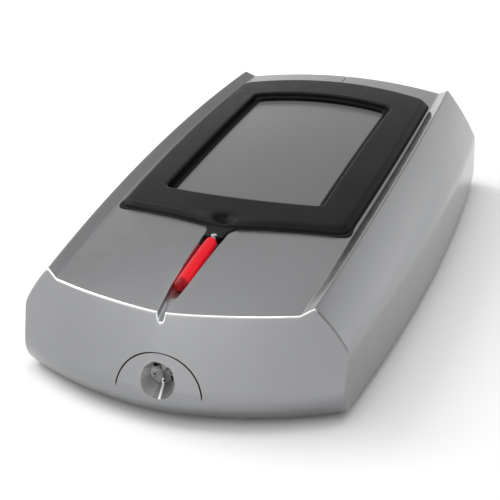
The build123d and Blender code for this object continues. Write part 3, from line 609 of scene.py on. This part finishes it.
def half_section(y):
    """Right half of the cover's outline across y: from the middle of the groove down to the rim."""
    half, depth = groove_half(y), groove_depth(y)
    rim = min(0.35, 0.4 * half)
    rim_drop = min(rim, 0.5 * depth)
    points = []
    for k in range(9):
        share = sin(pi / 2 * k / 8)
        bowl = (1 - share ** 2) ** 0.5
        x = half * share
        points.append((x, face_height(x, y) - rim_drop - (depth - rim_drop) * bowl))
    for k in range(1, 4):
        x = half + rim * k / 3
        points.append((x, face_height(x, y) - rim_drop * (1 - sqrt(1 - (1 - k / 3) ** 2))))
    corner = (face_half(y), face_edge(y))
    crest = (crest_half(y), crest_height(y))
    inside = corner[0] - EDGE_ROUND
    for k in range(1, 15):
        x = half + rim + (inside - half - rim) * k / 14
        points.append((x, face_height(x, y)))
    slope_start = blend(corner, crest, 0.12)
    slope_end = blend(corner, crest, 0.86)
    points += [curve_point(points[-1], corner, slope_start, k / 3) for k in range(1, 4)]
    points += [blend(slope_start, slope_end, k / 3) for k in range(1, 4)]
    base, waist = base_half(y), waist_height(y)
    chord = Vector((crest[0] - base, crest[1] - waist)).normalized()
    facet = Matrix.Rotation(-FACET_BULGE, 2) @ chord
    waist_end = Vector((base, waist)) + facet * WAIST_ROUND
    span = Vector(crest) - waist_end
    bow = waist_end + facet * (span.length / 2 / facet.dot(span.normalized()))
    facet_points = [curve_point(crest, bow, waist_end, k / 40) for k in range(41)]
    points += [curve_point(slope_end, crest, facet_points[1], k / 5) for k in range(1, 6)]
    points += [facet_points[k] for k in range(4, 41, 3)]
    side_top = (base, waist - WAIST_ROUND)
    points += [curve_point(tuple(waist_end), (base, waist), side_top, k / 8) for k in range(1, 9)]
    side_low = (base, FOOT_Z + SIDE_ROUND)
    points += [blend(side_top, side_low, k / 6) for k in range(1, 7)]
    lowest = acos((SIDE_ROUND - (RIM_WIDTH - 0.015)) / SIDE_ROUND)
    for k in range(1, 9):
        turn = lowest * k / 8
        points.append((base - SIDE_ROUND * (1 - cos(turn)), FOOT_Z + SIDE_ROUND * (1 - sin(turn))))
    return points


# how many of half_section's points lie on each part of the outline
GROOVE_POINTS = 12
FACE_POINTS = 14
CORNER_POINTS = 11
FACET_POINTS = 13
SIDE_POINTS = 14
FOOT_POINTS = 8
# painted reflection streaks across the groove's open end: highlight share from its floor to its rim
GROOVE_HIGHLIGHT = (0.1, 0.1, 0.2, 0.5, 0.9, 0.9, 0.4, 0.1, 0.1, 0.4, 0.4, 0.03)


def half_lining(y):
    """Right half of the cover's inside across y, point for point with half_section."""
    outer = half_section(y)
    pad = 1.6 * smooth(-68, -66, y) * (1 - smooth(-37, -35, y))
    points = []
    for x, z in outer[:GROOVE_POINTS + FACE_POINTS]:
        near = 1 - smooth(3.5, 5.5, x)
        points.append((x, face_height(x, y) - WALL - pad * near))
    roof = (face_half(y) - 0.4 + 0.02, face_edge(y) - WALL)
    waist = (base_half(y) - WALL, waist_height(y) - 1)
    sill = (waist[0], 3.2)
    start = points[-1]
    points += [blend(start, roof, k / 4) for k in range(1, 5)]
    down = CORNER_POINTS - 4 + FACET_POINTS
    points += [blend(roof, waist, k / down) for k in range(1, down + 1)]
    points += [blend(waist, sill, k / SIDE_POINTS) for k in range(1, SIDE_POINTS + 1)]
    rim_x = base_half(y) - RIM_WIDTH
    points += [(rim_x, 3.1 + (RIM_BOTTOM - 3.1) * k / (FOOT_POINTS - 1)) for k in range(FOOT_POINTS)]
    return points


def end_crossing(section, wall, start):
    """For each outline point, (x, y, z) where its line along the cover meets an end wall."""
    count = len(section(start))
    found = []
    for index in range(count):
        y = start
        for _ in range(9):
            x, z = section(y)[index]
            y = wall(x, z)
        found.append((x, y, z))
    return found


def inward(points):
    """Unit directions in (x, z) from an outline into the end wall that it bounds."""
    raw = []
    for index in range(len(points)):
        before = points[max(0, index - 1)]
        after = points[min(len(points) - 1, index + 1)]
        dx, dz = after[0] - before[0], after[2] - before[2]
        raw.append(Vector((dz, -dx)).normalized())
    raw[0] = Vector((0, -1))
    directions = []
    for index in range(len(raw)):
        near = raw[max(0, index - 2):index + 3]
        foot = max(0, index - (len(raw) - 1 - FOOT_POINTS)) / FOOT_POINTS
        mean = sum(near, Vector((0, 0))).normalized()
        directions.append(mean.lerp(Vector((-1, 0)), foot).normalized())
    directions[0] = Vector((0, -1))
    return directions


def shares_down(points):
    """For each outline point, how far round it is from the middle of the top, 0, to the rim, 1."""
    turns = [atan2(z + 10, max(x, 0.0)) for x, y, z in points]
    shares = [(turns[0] - turn) / (turns[0] - turns[-1]) for turn in turns]
    for index in range(1, len(shares)):
        shares[index] = max(shares[index], shares[index - 1] + 0.002)
    return [share / shares[-1] for share in shares]


def arch_edge(share):
    """(x, z) on the right half of the cover's arched cut-out, from its top, 0, to its foot, 1."""
    radius = ARCH_RADIUS + ARCH_GAP
    quarter = radius * pi / 2
    travel = share * (quarter + ARCH_Z - RIM_BOTTOM)
    if travel < quarter:
        turn = pi / 2 - travel / radius
        z = ARCH_Z + radius * sin(turn)
        reach = radius - SEAM_CLOSED * (1 - smooth(SEAM_END_Z - 0.5, SEAM_END_Z + 0.5, z))
        return (reach * cos(turn), z)
    return (radius - SEAM_CLOSED, ARCH_Z - (travel - quarter))


def far_spine(share):
    return (0.0, 16 + (RIM_BOTTOM - 16) * share)


def cap_rows(crossing, target, wall, rows):
    """Rows across an end wall from the outline inwards to the target line, on the wall."""
    shares = shares_down(crossing)
    found = []
    for row in range(rows + 1):
        line = []
        for (x, y, z), share in zip(crossing, shares):
            px, pz = blend((x, z), target(share), row / rows)
            line.append((px, wall(px, pz), pz))
        found.append(line)
    return found


def end_rows(section, wall, start, inset, target):
    """Rows from the cover's side over the rounded edge and across one end wall."""
    crossing = end_crossing(section, wall, start)
    sides, walls = [], []
    for index, ((x, y, z), way) in enumerate(zip(crossing, inward(crossing))):
        sx, sz = section(y + inset)[index]
        sides.append((sx, y + inset, sz))
        wx, wz = x + way.x * abs(inset), z + way.y * abs(inset)
        walls.append((wx, wall(wx, wz), wz))
    rounding = [
        [curve_point(a, b, c, k / ROUND_ROWS) for a, b, c in zip(sides, crossing, walls)]
        for k in range(ROUND_ROWS)
    ]
    return rounding + cap_rows(walls, target, wall, CAP_ROWS)


def side_rows(section, first, last):
    """Rows along the cover between two end lines, without the end lines themselves."""
    found = []
    for row in range(1, SIDE_ROWS):
        line = []
        for index, (start, end) in enumerate(zip(first, last)):
            y = start[1] + (end[1] - start[1]) * row / SIDE_ROWS
            x, z = section(y)[index]
            line.append((x, y, z))
        found.append(line)
    return found


def cover_rows():
    """Outer and inner rows of the right half of the cover, from the arch to the top end."""
    front = end_rows(half_section, front_wall, -70, EDGE_ROUND, arch_edge)
    far = end_rows(half_section, far_wall, 66, -EDGE_ROUND, far_spine)
    outer = front[::-1] + side_rows(half_section, front[0], far[0]) + far
    steps = CAP_ROWS + ROUND_ROWS
    front_lining = cap_rows(end_crossing(half_lining, inner_front, -67), arch_edge, inner_front, steps)
    far_lining = cap_rows(end_crossing(half_lining, inner_far, 63), far_spine, inner_far, steps)
    sides = side_rows(half_lining, front_lining[0], far_lining[0])
    return outer, front_lining[::-1] + sides + far_lining


def edge_highlight(outer):
    """Painted highlight share of each outer vertex: 1 on the front wall's top edge, and painted reflection
    streaks on the groove's open end.
    """
    width = len(outer[0])
    across = GROOVE_POINTS + FACE_POINTS + CORNER_POINTS - 1
    first = CAP_ROWS
    shares = []
    for row in range(len(outer)):
        on_edge = first < row < first + ROUND_ROWS
        if on_edge:
            shares += [1.0 if column <= across else 0.0 for column in range(width)]
            continue
        line = [0.0] * width
        if row >= first + ROUND_ROWS and outer[row][0][1] < GROOVE_HIGHLIGHT_Y:
            line[:GROOVE_POINTS] = GROOVE_HIGHLIGHT
        shares += line
    return shares + [0.0] * len(shares)


def in_bezel_opening(points):
    """Whether a face of the cover lies in the opening under the bezel, a little inside the bezel's skirt."""
    x = sum(p[0] for p in points) / 4
    y = sum(p[1] for p in points) / 4
    return abs(x) < OPENING_HALF and OPENING_NEAR_Y < y < OPENING_FAR_Y


def half_shell(outer, inner):
    """Vertices and faces of the right half of the cover's shell, closed except along x = 0."""
    width = len(outer[0])
    count = width * len(outer)
    vertices = [point for row in outer for point in row] + [point for row in inner for point in row]
    faces, edges = [], {}
    for v in range(len(outer) - 1):
        for u in range(width - 1):
            cell = (v * width + u, v * width + u + 1, (v + 1) * width + u + 1, (v + 1) * width + u)
            on_face = u < GROOVE_POINTS + FACE_POINTS
            if on_face and in_bezel_opening([vertices[corner] for corner in cell]):
                continue
            faces.append(cell)
            faces.append(tuple(corner + count for corner in reversed(cell)))
            for a, b in zip(cell, cell[1:] + cell[:1]):
                edges[(a, b)] = True
    last_row = (len(outer) - 1) * width
    for a, b in edges:
        middle = a % width == 0 and b % width == 0
        spine = a >= last_row and b >= last_row
        if (b, a) not in edges and not middle and not spine:
            faces.append((b, a, a + count, b + count))
    return vertices, faces


def add_block(shape, low, high):
    """A box between two corners, with slightly broken edges, in millimetres."""
    made = bmesh.ops.create_cube(shape, size=1)["verts"]
    for vertex in made:
        for axis in range(3):
            middle, span = (low[axis] + high[axis]) / 2, high[axis] - low[axis]
            vertex.co[axis] = middle + vertex.co[axis] * span
    edges = list({edge for vertex in made for edge in vertex.link_edges})
    bmesh.ops.bevel(shape, geom=edges, offset=0.15, segments=2, affect="EDGES", profile=0.5)


def add_tube(shape, centre, outer, inner, low, high):
    """An upright tube, open at its lower end, closed at its top."""
    count = 32
    depth = (high - low) * 0.55
    profile = (
        (inner, low + depth), (inner, low + 0.1), (inner + 0.1, low), (outer - 0.1, low), (outer, low + 0.1),
        (outer, high),
    )
    middle = Vector((*centre, 0))
    rings = []
    for radius, z in profile:
        turns = [2 * pi * k / count for k in range(count)]
        rings.append([shape.verts.new(middle + Vector((radius * cos(t), radius * sin(t), z))) for t in turns])
    for first, second in zip(rings, rings[1:]):
        for k in range(count):
            shape.faces.new((first[k], second[k], second[(k + 1) % count], first[(k + 1) % count]))
    for ring in (rings[0], rings[-1]):
        shape.faces.new(ring)


def finished(shape, name, body, slot, replaced, sharp=40):
    """Turns a bmesh in millimetres into a piece in metres with smooth faces and sharp creases."""
    bmesh.ops.scale(shape, vec=(MM, MM, MM), verts=shape.verts)
    bmesh.ops.remove_doubles(shape, verts=shape.verts, dist=2e-7)
    bmesh.ops.recalc_face_normals(shape, faces=shape.faces)
    for face in shape.faces:
        face.smooth = True
    for edge in shape.edges:
        edge.smooth = edge.is_manifold and edge.calc_face_angle(0) < radians(sharp)
    mesh = bpy.data.meshes.new(name)
    shape.to_mesh(mesh)
    shape.free()
    piece = bpy.data.objects.new(name, mesh)
    bpy.context.scene.collection.objects.link(piece)
    mesh.materials.append(MATERIALS[slot])
    normals = piece.modifiers.new("normals", "WEIGHTED_NORMAL")
    normals.keep_sharp = True
    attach(piece, body)
    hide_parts(*replaced)
    return piece


def make_cover():
    """The cast cover's shell, mirrored from its right half, with its bosses, hinge ears and lock tab."""
    outer, inner = cover_rows()
    vertices, faces = half_shell(outer, inner)
    painted_highlight = edge_highlight(outer)
    shape = bmesh.new()
    highlighted = shape.verts.layers.float.new("painted_highlight")
    for side in (1, -1):
        made = [shape.verts.new((side * x, y, z)) for x, y, z in vertices]
        for vertex, share in zip(made, painted_highlight):
            vertex[highlighted] = share
        for face in faces:
            shape.faces.new([made[corner] for corner in (face if side > 0 else reversed(face))])
    bmesh.ops.remove_doubles(shape, verts=shape.verts, dist=1e-4)
    for x, y in BOARD_BOSSES:
        add_tube(shape, (x, y), 2.2, 1.25, 13.6, face_height(x, y) - 1.5)
    for x, y in LED_BOSSES:
        add_tube(shape, (x, y), 1.8, 0.85, 18.8, face_height(x, y) - 1.5)
    # hinge ears at the top end, and the two legs and bridge of the slotted lock tab
    for side in (-1, 1):
        add_block(shape, (side * 20 - 1.3, 63.5, 4.1), (side * 20 + 1.3, 69.5, 9.5))
        add_block(shape, (side * 3.6 - 1.85, -69.5, 5.4), (side * 3.6 + 1.85, -67.5, 21.4))
    add_block(shape, (-1.76, -69.5, 11.95), (1.76, -67.5, 21.4))
    return finished(shape, "front_cover_shell", "cover", "housing_metal", ["front_cover"])


# ---------------------------------------------------------------- bezel, in millimetres
BEZEL_HALF, BEZEL_SIDE_BOW = 26.6, 0.7
BEZEL_NEAR_Y, BEZEL_NEAR_POINT = -31.0, 6.8
BEZEL_FAR_Y, BEZEL_FAR_BOW = 51.8, 4.1
BEZEL_HEIGHT = 1.75
GASKET = 0.3
WINDOW_HALF, WINDOW_NEAR_Y, WINDOW_FAR_Y, WINDOW_BOW = 17.2, -22.0, 39.3, 2.2
STEP_WIDTH, STEP_LEVEL = 1.6, 0.9
SKIRT_HALF, SKIRT_NEAR_Y, SKIRT_FAR_Y, SKIRT_DEPTH = 21.3, -28.0, 47.0, 2.9
POCKET = 2.0
PEGS = ((-20, -21), (20, -21), (-20, 37), (20, 37))
DIMPLE_Y = -35.2
STEM_LENGTH = 7.5


def ring_line(near, far, side, radius):
    """Right half of a rounded outline, from the middle of its near edge to the middle of its far edge.

    near and far give y at x, and side gives x at y.
    """
    low_y, high_y = near(side(near(20))), far(side(far(20)))
    low_x, high_x = side(low_y), side(high_y)
    points = []
    for k in range(24):
        x = (low_x - radius) * k / 24
        points.append((x, near(x)))
    start, end = (low_x - radius, near(low_x - radius)), (side(low_y + radius), low_y + radius)
    points += [curve_point(start, (low_x, low_y), end, k / 10) for k in range(11)]
    for k in range(1, 60):
        y = low_y + radius + (high_y - low_y - 2 * radius) * k / 60
        points.append((side(y), y))
    start, end = (side(high_y - radius), high_y - radius), (high_x - radius, far(high_x - radius))
    points += [curve_point(start, (high_x, high_y), end, k / 10) for k in range(11)]
    for k in range(1, 25):
        x = (high_x - radius) * (1 - k / 24)
        points.append((x, far(x)))
    return points


def bezel_line(inset, reach=0.0):
    """The bezel's outline, moved in by inset; reach adds to that near the middle of the near edge."""
    def near(x):
        point = sqrt(x * x + 1.4) - 0.35
        middle = max(0.0, 1 - (x / 4.2) ** 2) ** 2
        return BEZEL_NEAR_Y - BEZEL_NEAR_POINT * (1 - point / BEZEL_HALF) + inset + reach * middle

    def far(x):
        return BEZEL_FAR_Y + BEZEL_FAR_BOW * (1 - (x / BEZEL_HALF) ** 2) - inset

    def side(y):
        return BEZEL_HALF + BEZEL_SIDE_BOW * (1 - ((y - 10.4) / 41.4) ** 2) - inset

    return ring_line(near, far, side, max(1.2, 2.8 - 0.5 * inset))


def window_line(grow):
    def near(x):
        return WINDOW_NEAR_Y - WINDOW_BOW * (1 - (x / WINDOW_HALF) ** 2) - grow

    def far(x):
        return WINDOW_FAR_Y + WINDOW_BOW * (1 - (x / WINDOW_HALF) ** 2) + grow

    return ring_line(near, far, lambda y: WINDOW_HALF + grow, 1.5 + 0.3 * grow)


def skirt_line():
    return ring_line(lambda x: SKIRT_NEAR_Y, lambda x: SKIRT_FAR_Y, lambda y: SKIRT_HALF, 2.0)


def raised(line, height):
    """Points of a plan line at a height above the cover's face."""
    return [(x, y, face_height(x, y) + height) for x, y in line]


def scooped(line, height):
    """The same, with the thumbnail-shaped dimple sunk in behind the stem."""
    points = []
    for x, y in line:
        away = sqrt((x / 2.9) ** 2 + ((y - DIMPLE_Y) / 2.1) ** 2)
        sink = 0.95 * (1 - smooth(0.25, 1.0, away))
        level = max(GASKET + 0.05, height - sink) if height > GASKET else height
        points.append((x, y, face_height(x, y) + level))
    return points


def stepped(line, height):
    """Points of the bezel's inner edge, whose step is high at the far end and low along the sides."""
    drop = (STEP_LEVEL - 0.2) if 0 < height < 1.1 else 0.0
    points = []
    for x, y in line:
        low = drop * (1 - smooth(WINDOW_FAR_Y - 1.5, WINDOW_FAR_Y + 0.8, y))
        points.append((x, y, face_height(x, y) + max(0.02, height - low)))
    return points


def hollow_shade(x, y, z):
    """Painted shade: 1 in the dimple behind the stem and on the inner edge round the window, else 0."""
    away = sqrt((x / 3.3) ** 2 + ((y - DIMPLE_Y - 0.2) / 2.1) ** 2)
    inner = abs(x) < WINDOW_HALF + STEP_WIDTH + 0.2 and WINDOW_NEAR_Y - 4 < y < WINDOW_FAR_Y + 3.9
    low = 1 - smooth(1.0, 1.6, z - face_height(x, y))
    return max(1 - smooth(0.45, 1.0, away), 0.85 * low if inner else 0.0)


def ridge_sheen(x, y):
    """Painted sheen: 1 on the swellings beside the dimple, fading outwards."""
    off = abs(y - (BEZEL_NEAR_Y - BEZEL_NEAR_POINT * (1 - abs(x) / BEZEL_HALF) + 1.3))
    return smooth(2.0, 3.4, abs(x)) * (1 - smooth(4.0, 11.0, abs(x))) * (1 - smooth(0.5, 1.4, off))


def add_ring(shape, rows, closed=True):
    """A skin over rows of right-half points, mirrored; closed joins the last row to the first."""
    # each vertex carries painted shade and painted sheen for its material, from where it lies
    shade = shape.verts.layers.float.new("shade")
    painted_highlight = shape.verts.layers.float.new("painted_highlight")
    for side in (1, -1):
        made = [[shape.verts.new((side * x, y, z)) for x, y, z in row] for row in rows]
        for vertex in [vertex for row in made for vertex in row]:
            vertex[shade] = hollow_shade(*vertex.co)
            vertex[painted_highlight] = ridge_sheen(vertex.co.x, vertex.co.y)
        for first, second in zip(made, made[1:] + (made[:1] if closed else [])):
            for k in range(len(first) - 1):
                corners = (first[k], first[k + 1], second[k + 1], second[k])
                shape.faces.new(corners if side > 0 else reversed(corners))


def flare_half(y):
    """Half width of the bezel's stem, which flares towards the bezel."""
    away = max(0.0, y - STEM_END_Y) / STEM_LENGTH
    return 2.1 + 0.5 * away + 5.6 * away ** 3.2


def add_stem(shape):
    """The flared stem at the middle of the bezel's near edge, and its tongue in the groove."""
    for low, high, span in ((0.02, 0.35, flare_half), (-1.3, 0.1, lambda y: 1.3)):
        rings = []
        for k in range(21):
            y = STEM_END_Y + STEM_LENGTH * k / 20
            half = span(y)
            edge = [(half - 0.14, high), (half - 0.04, high - 0.04), (half, high - 0.12), (half, low)]
            profile = [(-x, z) for x, z in edge[::-1]]
            profile += [(x * half / 4, high) for x in (-2, 0, 2)]
            profile += edge
            rings.append([shape.verts.new((x, y, face_height(x, y) + lift)) for x, lift in profile])
        for first, second in zip(rings, rings[1:]):
            for k in range(len(first)):
                after = (k + 1) % len(first)
                shape.faces.new((first[k], first[after], second[after], second[k]))
        shape.faces.new(rings[0])
        shape.faces.new(rings[-1])


def make_bezel():
    """The black frame: its bevel, land and stepped inner edge, its skirt in the cover, stem and four pegs."""
    rows = []
    for inset, reach, height in (
        (0.0, 0.0, 0.3), (0.0, 0.1, 0.48), (0.02, 0.2, 0.62), (0.12, 0.35, 0.74), (0.3, 0.6, 0.9),
        (0.55, 0.9, 1.13), (0.8, 1.2, 1.36), (1.0, 1.5, 1.53), (1.2, 1.7, 1.66), (1.45, 1.8, 1.73),
        (1.8, 1.8, 1.75), (2.6, 1.2, 1.75), (3.6, 0.4, 1.75),
    ):
        rows.append(scooped(bezel_line(inset, reach), height))
    land_outer, land_inner = bezel_line(4.6), window_line(STEP_WIDTH + 1.0)
    for k in range(5):
        rows.append(raised([blend(a, b, k / 5) for a, b in zip(land_outer, land_inner)], BEZEL_HEIGHT))
    for grow, height in (
        (1.0, 1.75), (0.55, 1.74), (0.3, 1.68), (0.12, 1.56), (0.02, 1.4), (0.0, 1.2), (0.0, 1.02),
        (-0.06, 0.94), (-0.2, 0.9), (-0.9, 0.9), (-1.3, 0.87), (-1.5, 0.76), (-1.6, 0.6), (-1.6, -0.12),
        (0.4, -0.12), (0.4, -SKIRT_DEPTH),
    ):
        rows.append(stepped(window_line(STEP_WIDTH + grow), height))
    rows += [raised(skirt_line(), -SKIRT_DEPTH), raised(skirt_line(), GASKET)]
    shape = bmesh.new()
    add_ring(shape, rows)
    bmesh.ops.remove_doubles(shape, verts=shape.verts, dist=1e-4)
    add_stem(shape)
    for place in PEGS:
        add_tube(shape, place, 1.0, 0.4, 19.0, 25.0)
    return finished(shape, "bezel_frame", "cover", "bezel_plastic", ["bezel"], sharp=32)


def make_window():
    """The window plate, as rows from its middle line out over its edge and back underneath."""
    edge = window_line(POCKET - 0.1)
    middle_y = (WINDOW_NEAR_Y + WINDOW_FAR_Y) / 2
    spine = [(0.0, middle_y + (y - middle_y) * 0.8) for x, y in edge]
    plan = [[blend(a, b, k / 12) for a, b in zip(spine, edge)] for k in range(13)]
    top, bottom = -0.15, -1.75
    rows = [raised(line, top) for line in plan[:-1]]
    rows += [raised([blend(a, b, 0.2) for a, b in zip(edge, plan[-2])], top), raised(edge, top - 0.05)]
    rows += [raised(edge, bottom)] + [raised(line, bottom) for line in plan[-2::-1]]
    shape = bmesh.new()
    # add_ring paints shade over nearly all of the plate through hollow_shade, which darkens it
    add_ring(shape, rows, closed=False)
    bmesh.ops.remove_doubles(shape, verts=shape.verts, dist=1e-4)
    bmesh.ops.dissolve_degenerate(shape, edges=shape.edges, dist=1e-5)
    return finished(shape, "window_plate", "cover", "window_plastic", ["reader_window"])


NEAR_CORNER = Vector((26.0, -30.6))         # the bezel's near corner, in plan


def make_gasket():
    """Soft lip between bezel and face, standing out a little further at the near corners."""
    rows = []
    for inset, height in ((0.6, 0.28), (-0.1, 0.28), (-0.3, 0.2), (-0.34, 0.1), (-0.3, 0.02), (0.6, 0.02)):
        line = []
        for x, y in bezel_line(inset):
            corner = max(0.0, 1 - (Vector((x, y)) - NEAR_CORNER).length / 4)
            swell = 0.7 * corner if inset < 0 else 0.0
            line.append((x + swell, y - swell * 0.6))
        rows.append(raised(line, height))
    shape = bmesh.new()
    add_ring(shape, rows)
    bmesh.ops.remove_doubles(shape, verts=shape.verts, dist=1e-4)
    return finished(shape, "bezel_lip", "cover", "rubber", ["bezel_gasket"])


def add_rings(shape, rings):
    """A closed skin over a run of equal rings of points."""
    made = [[shape.verts.new(point) for point in ring] for ring in rings]
    for first, second in zip(made, made[1:]):
        for k in range(len(first)):
            after = (k + 1) % len(first)
            shape.faces.new((first[k], first[after], second[after], second[k]))
    shape.faces.new(made[0])
    shape.faces.new(made[-1])


LENS_Y = -41.3
LENS_HALF_X, LENS_HALF_Y, LENS_DOME = 0.98, 0.95, 0.75


def make_lens():
    """Clear tip of the light guide: a low dome on a round stalk, close behind the red pipe."""
    shape = bmesh.new()
    top = face_height(0, LENS_Y) + 0.5
    rings = []
    for k in range(12):
        turn = pi / 2 * k / 11
        size = max(0.03, cos(turn) ** 0.8)
        z = top - LENS_DOME * (1 - sin(turn))
        ring = []
        for m in range(32):
            around = 2 * pi * m / 32
            ring.append((LENS_HALF_X * size * cos(around), LENS_Y + LENS_HALF_Y * size * sin(around), z))
        rings.append(ring)
    stalk = [[(x, y, z) for x, y, _ in rings[0]] for z in (19.9, 23.0, top - 1.3)]
    add_rings(shape, stalk + rings)
    return finished(shape, "status_tip", "cover", "clear_plastic", ["status_lens"])


HEAD_RADIUS, SHANK_RADIUS = 2.42, 1.5
DISH_RIM, DISH_MIDDLE, SOCKET_RADIUS = 2.2, 1.3, 0.42
# where the dish's ground flats face, in radians round the screw
FLAT_TURNS = (0.0, 0.55, 1.15, 1.9, 2.3, 3.05, 3.6, 4.1, 4.85, 5.35, 5.9)


def dish_sink(turn, radius):
    """How much deeper than the plain dish its ground flats are, at a turn round the screw and a radius."""
    near = max(range(len(FLAT_TURNS)), key=lambda k: cos(turn - FLAT_TURNS[k]))
    step = 0.12 if near % 2 else -0.08
    slant = 0.1 * sin(turn - FLAT_TURNS[near]) * radius / DISH_RIM
    return step * (1 - abs(radius - DISH_MIDDLE) / 1.2) + slant


def make_screw():
    """Security screw with a hollow-ground dished head, whose ground flats meet at a small socket."""
    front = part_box("security_screw")[0].y / MM
    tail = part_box("security_screw")[1].y / MM
    length = tail - front
    profile = (
        (0.34, 1.15), (0.36, 0.95), (SOCKET_RADIUS, 0.92), (DISH_MIDDLE, 0.52), (DISH_RIM, 0.1), (2.3, 0.03),
        (HEAD_RADIUS - 0.06, 0.0), (HEAD_RADIUS, 0.05), (HEAD_RADIUS, 1.26), (SHANK_RADIUS + 0.02, 1.27),
        (SHANK_RADIUS, 1.4), (SHANK_RADIUS, length - 0.3), (SHANK_RADIUS - 0.3, length),
    )
    rings = []
    for radius, deep in profile:
        ring = []
        for m in range(66):
            turn = 2 * pi * m / 66
            in_dish = SOCKET_RADIUS <= radius <= DISH_RIM and deep < 1
            sink = dish_sink(turn, radius) if in_dish else 0.0
            ring.append((radius * cos(turn), front + deep + sink, SCREW_Z + radius * sin(turn)))
        rings.append(ring)
    shape = bmesh.new()
    add_rings(shape, rings)
    return finished(shape, "screw_ground_head", "lock_screw", "steel", ["security_screw"], sharp=12)


def dress_nodes():
    """Gives each CAD node the material of its slot in the record."""
    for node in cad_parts.values():
        for place in node.material_slots:
            slot = place.material.name.split(".")[0]
            place.material = MATERIALS[slot]


make_camera()
make_world()
make_floor()
make_softbox("key", (-1.25, 0.2, 1.15), 0.9, 15)
make_softbox("top", (0.0, 0.1, 1.5), 0.5, 2.5)
bpy.context.scene.view_settings.view_transform = "Standard"
dress_nodes()
make_cover()
make_bezel()
make_gasket()
make_window()
make_lens()
make_screw()
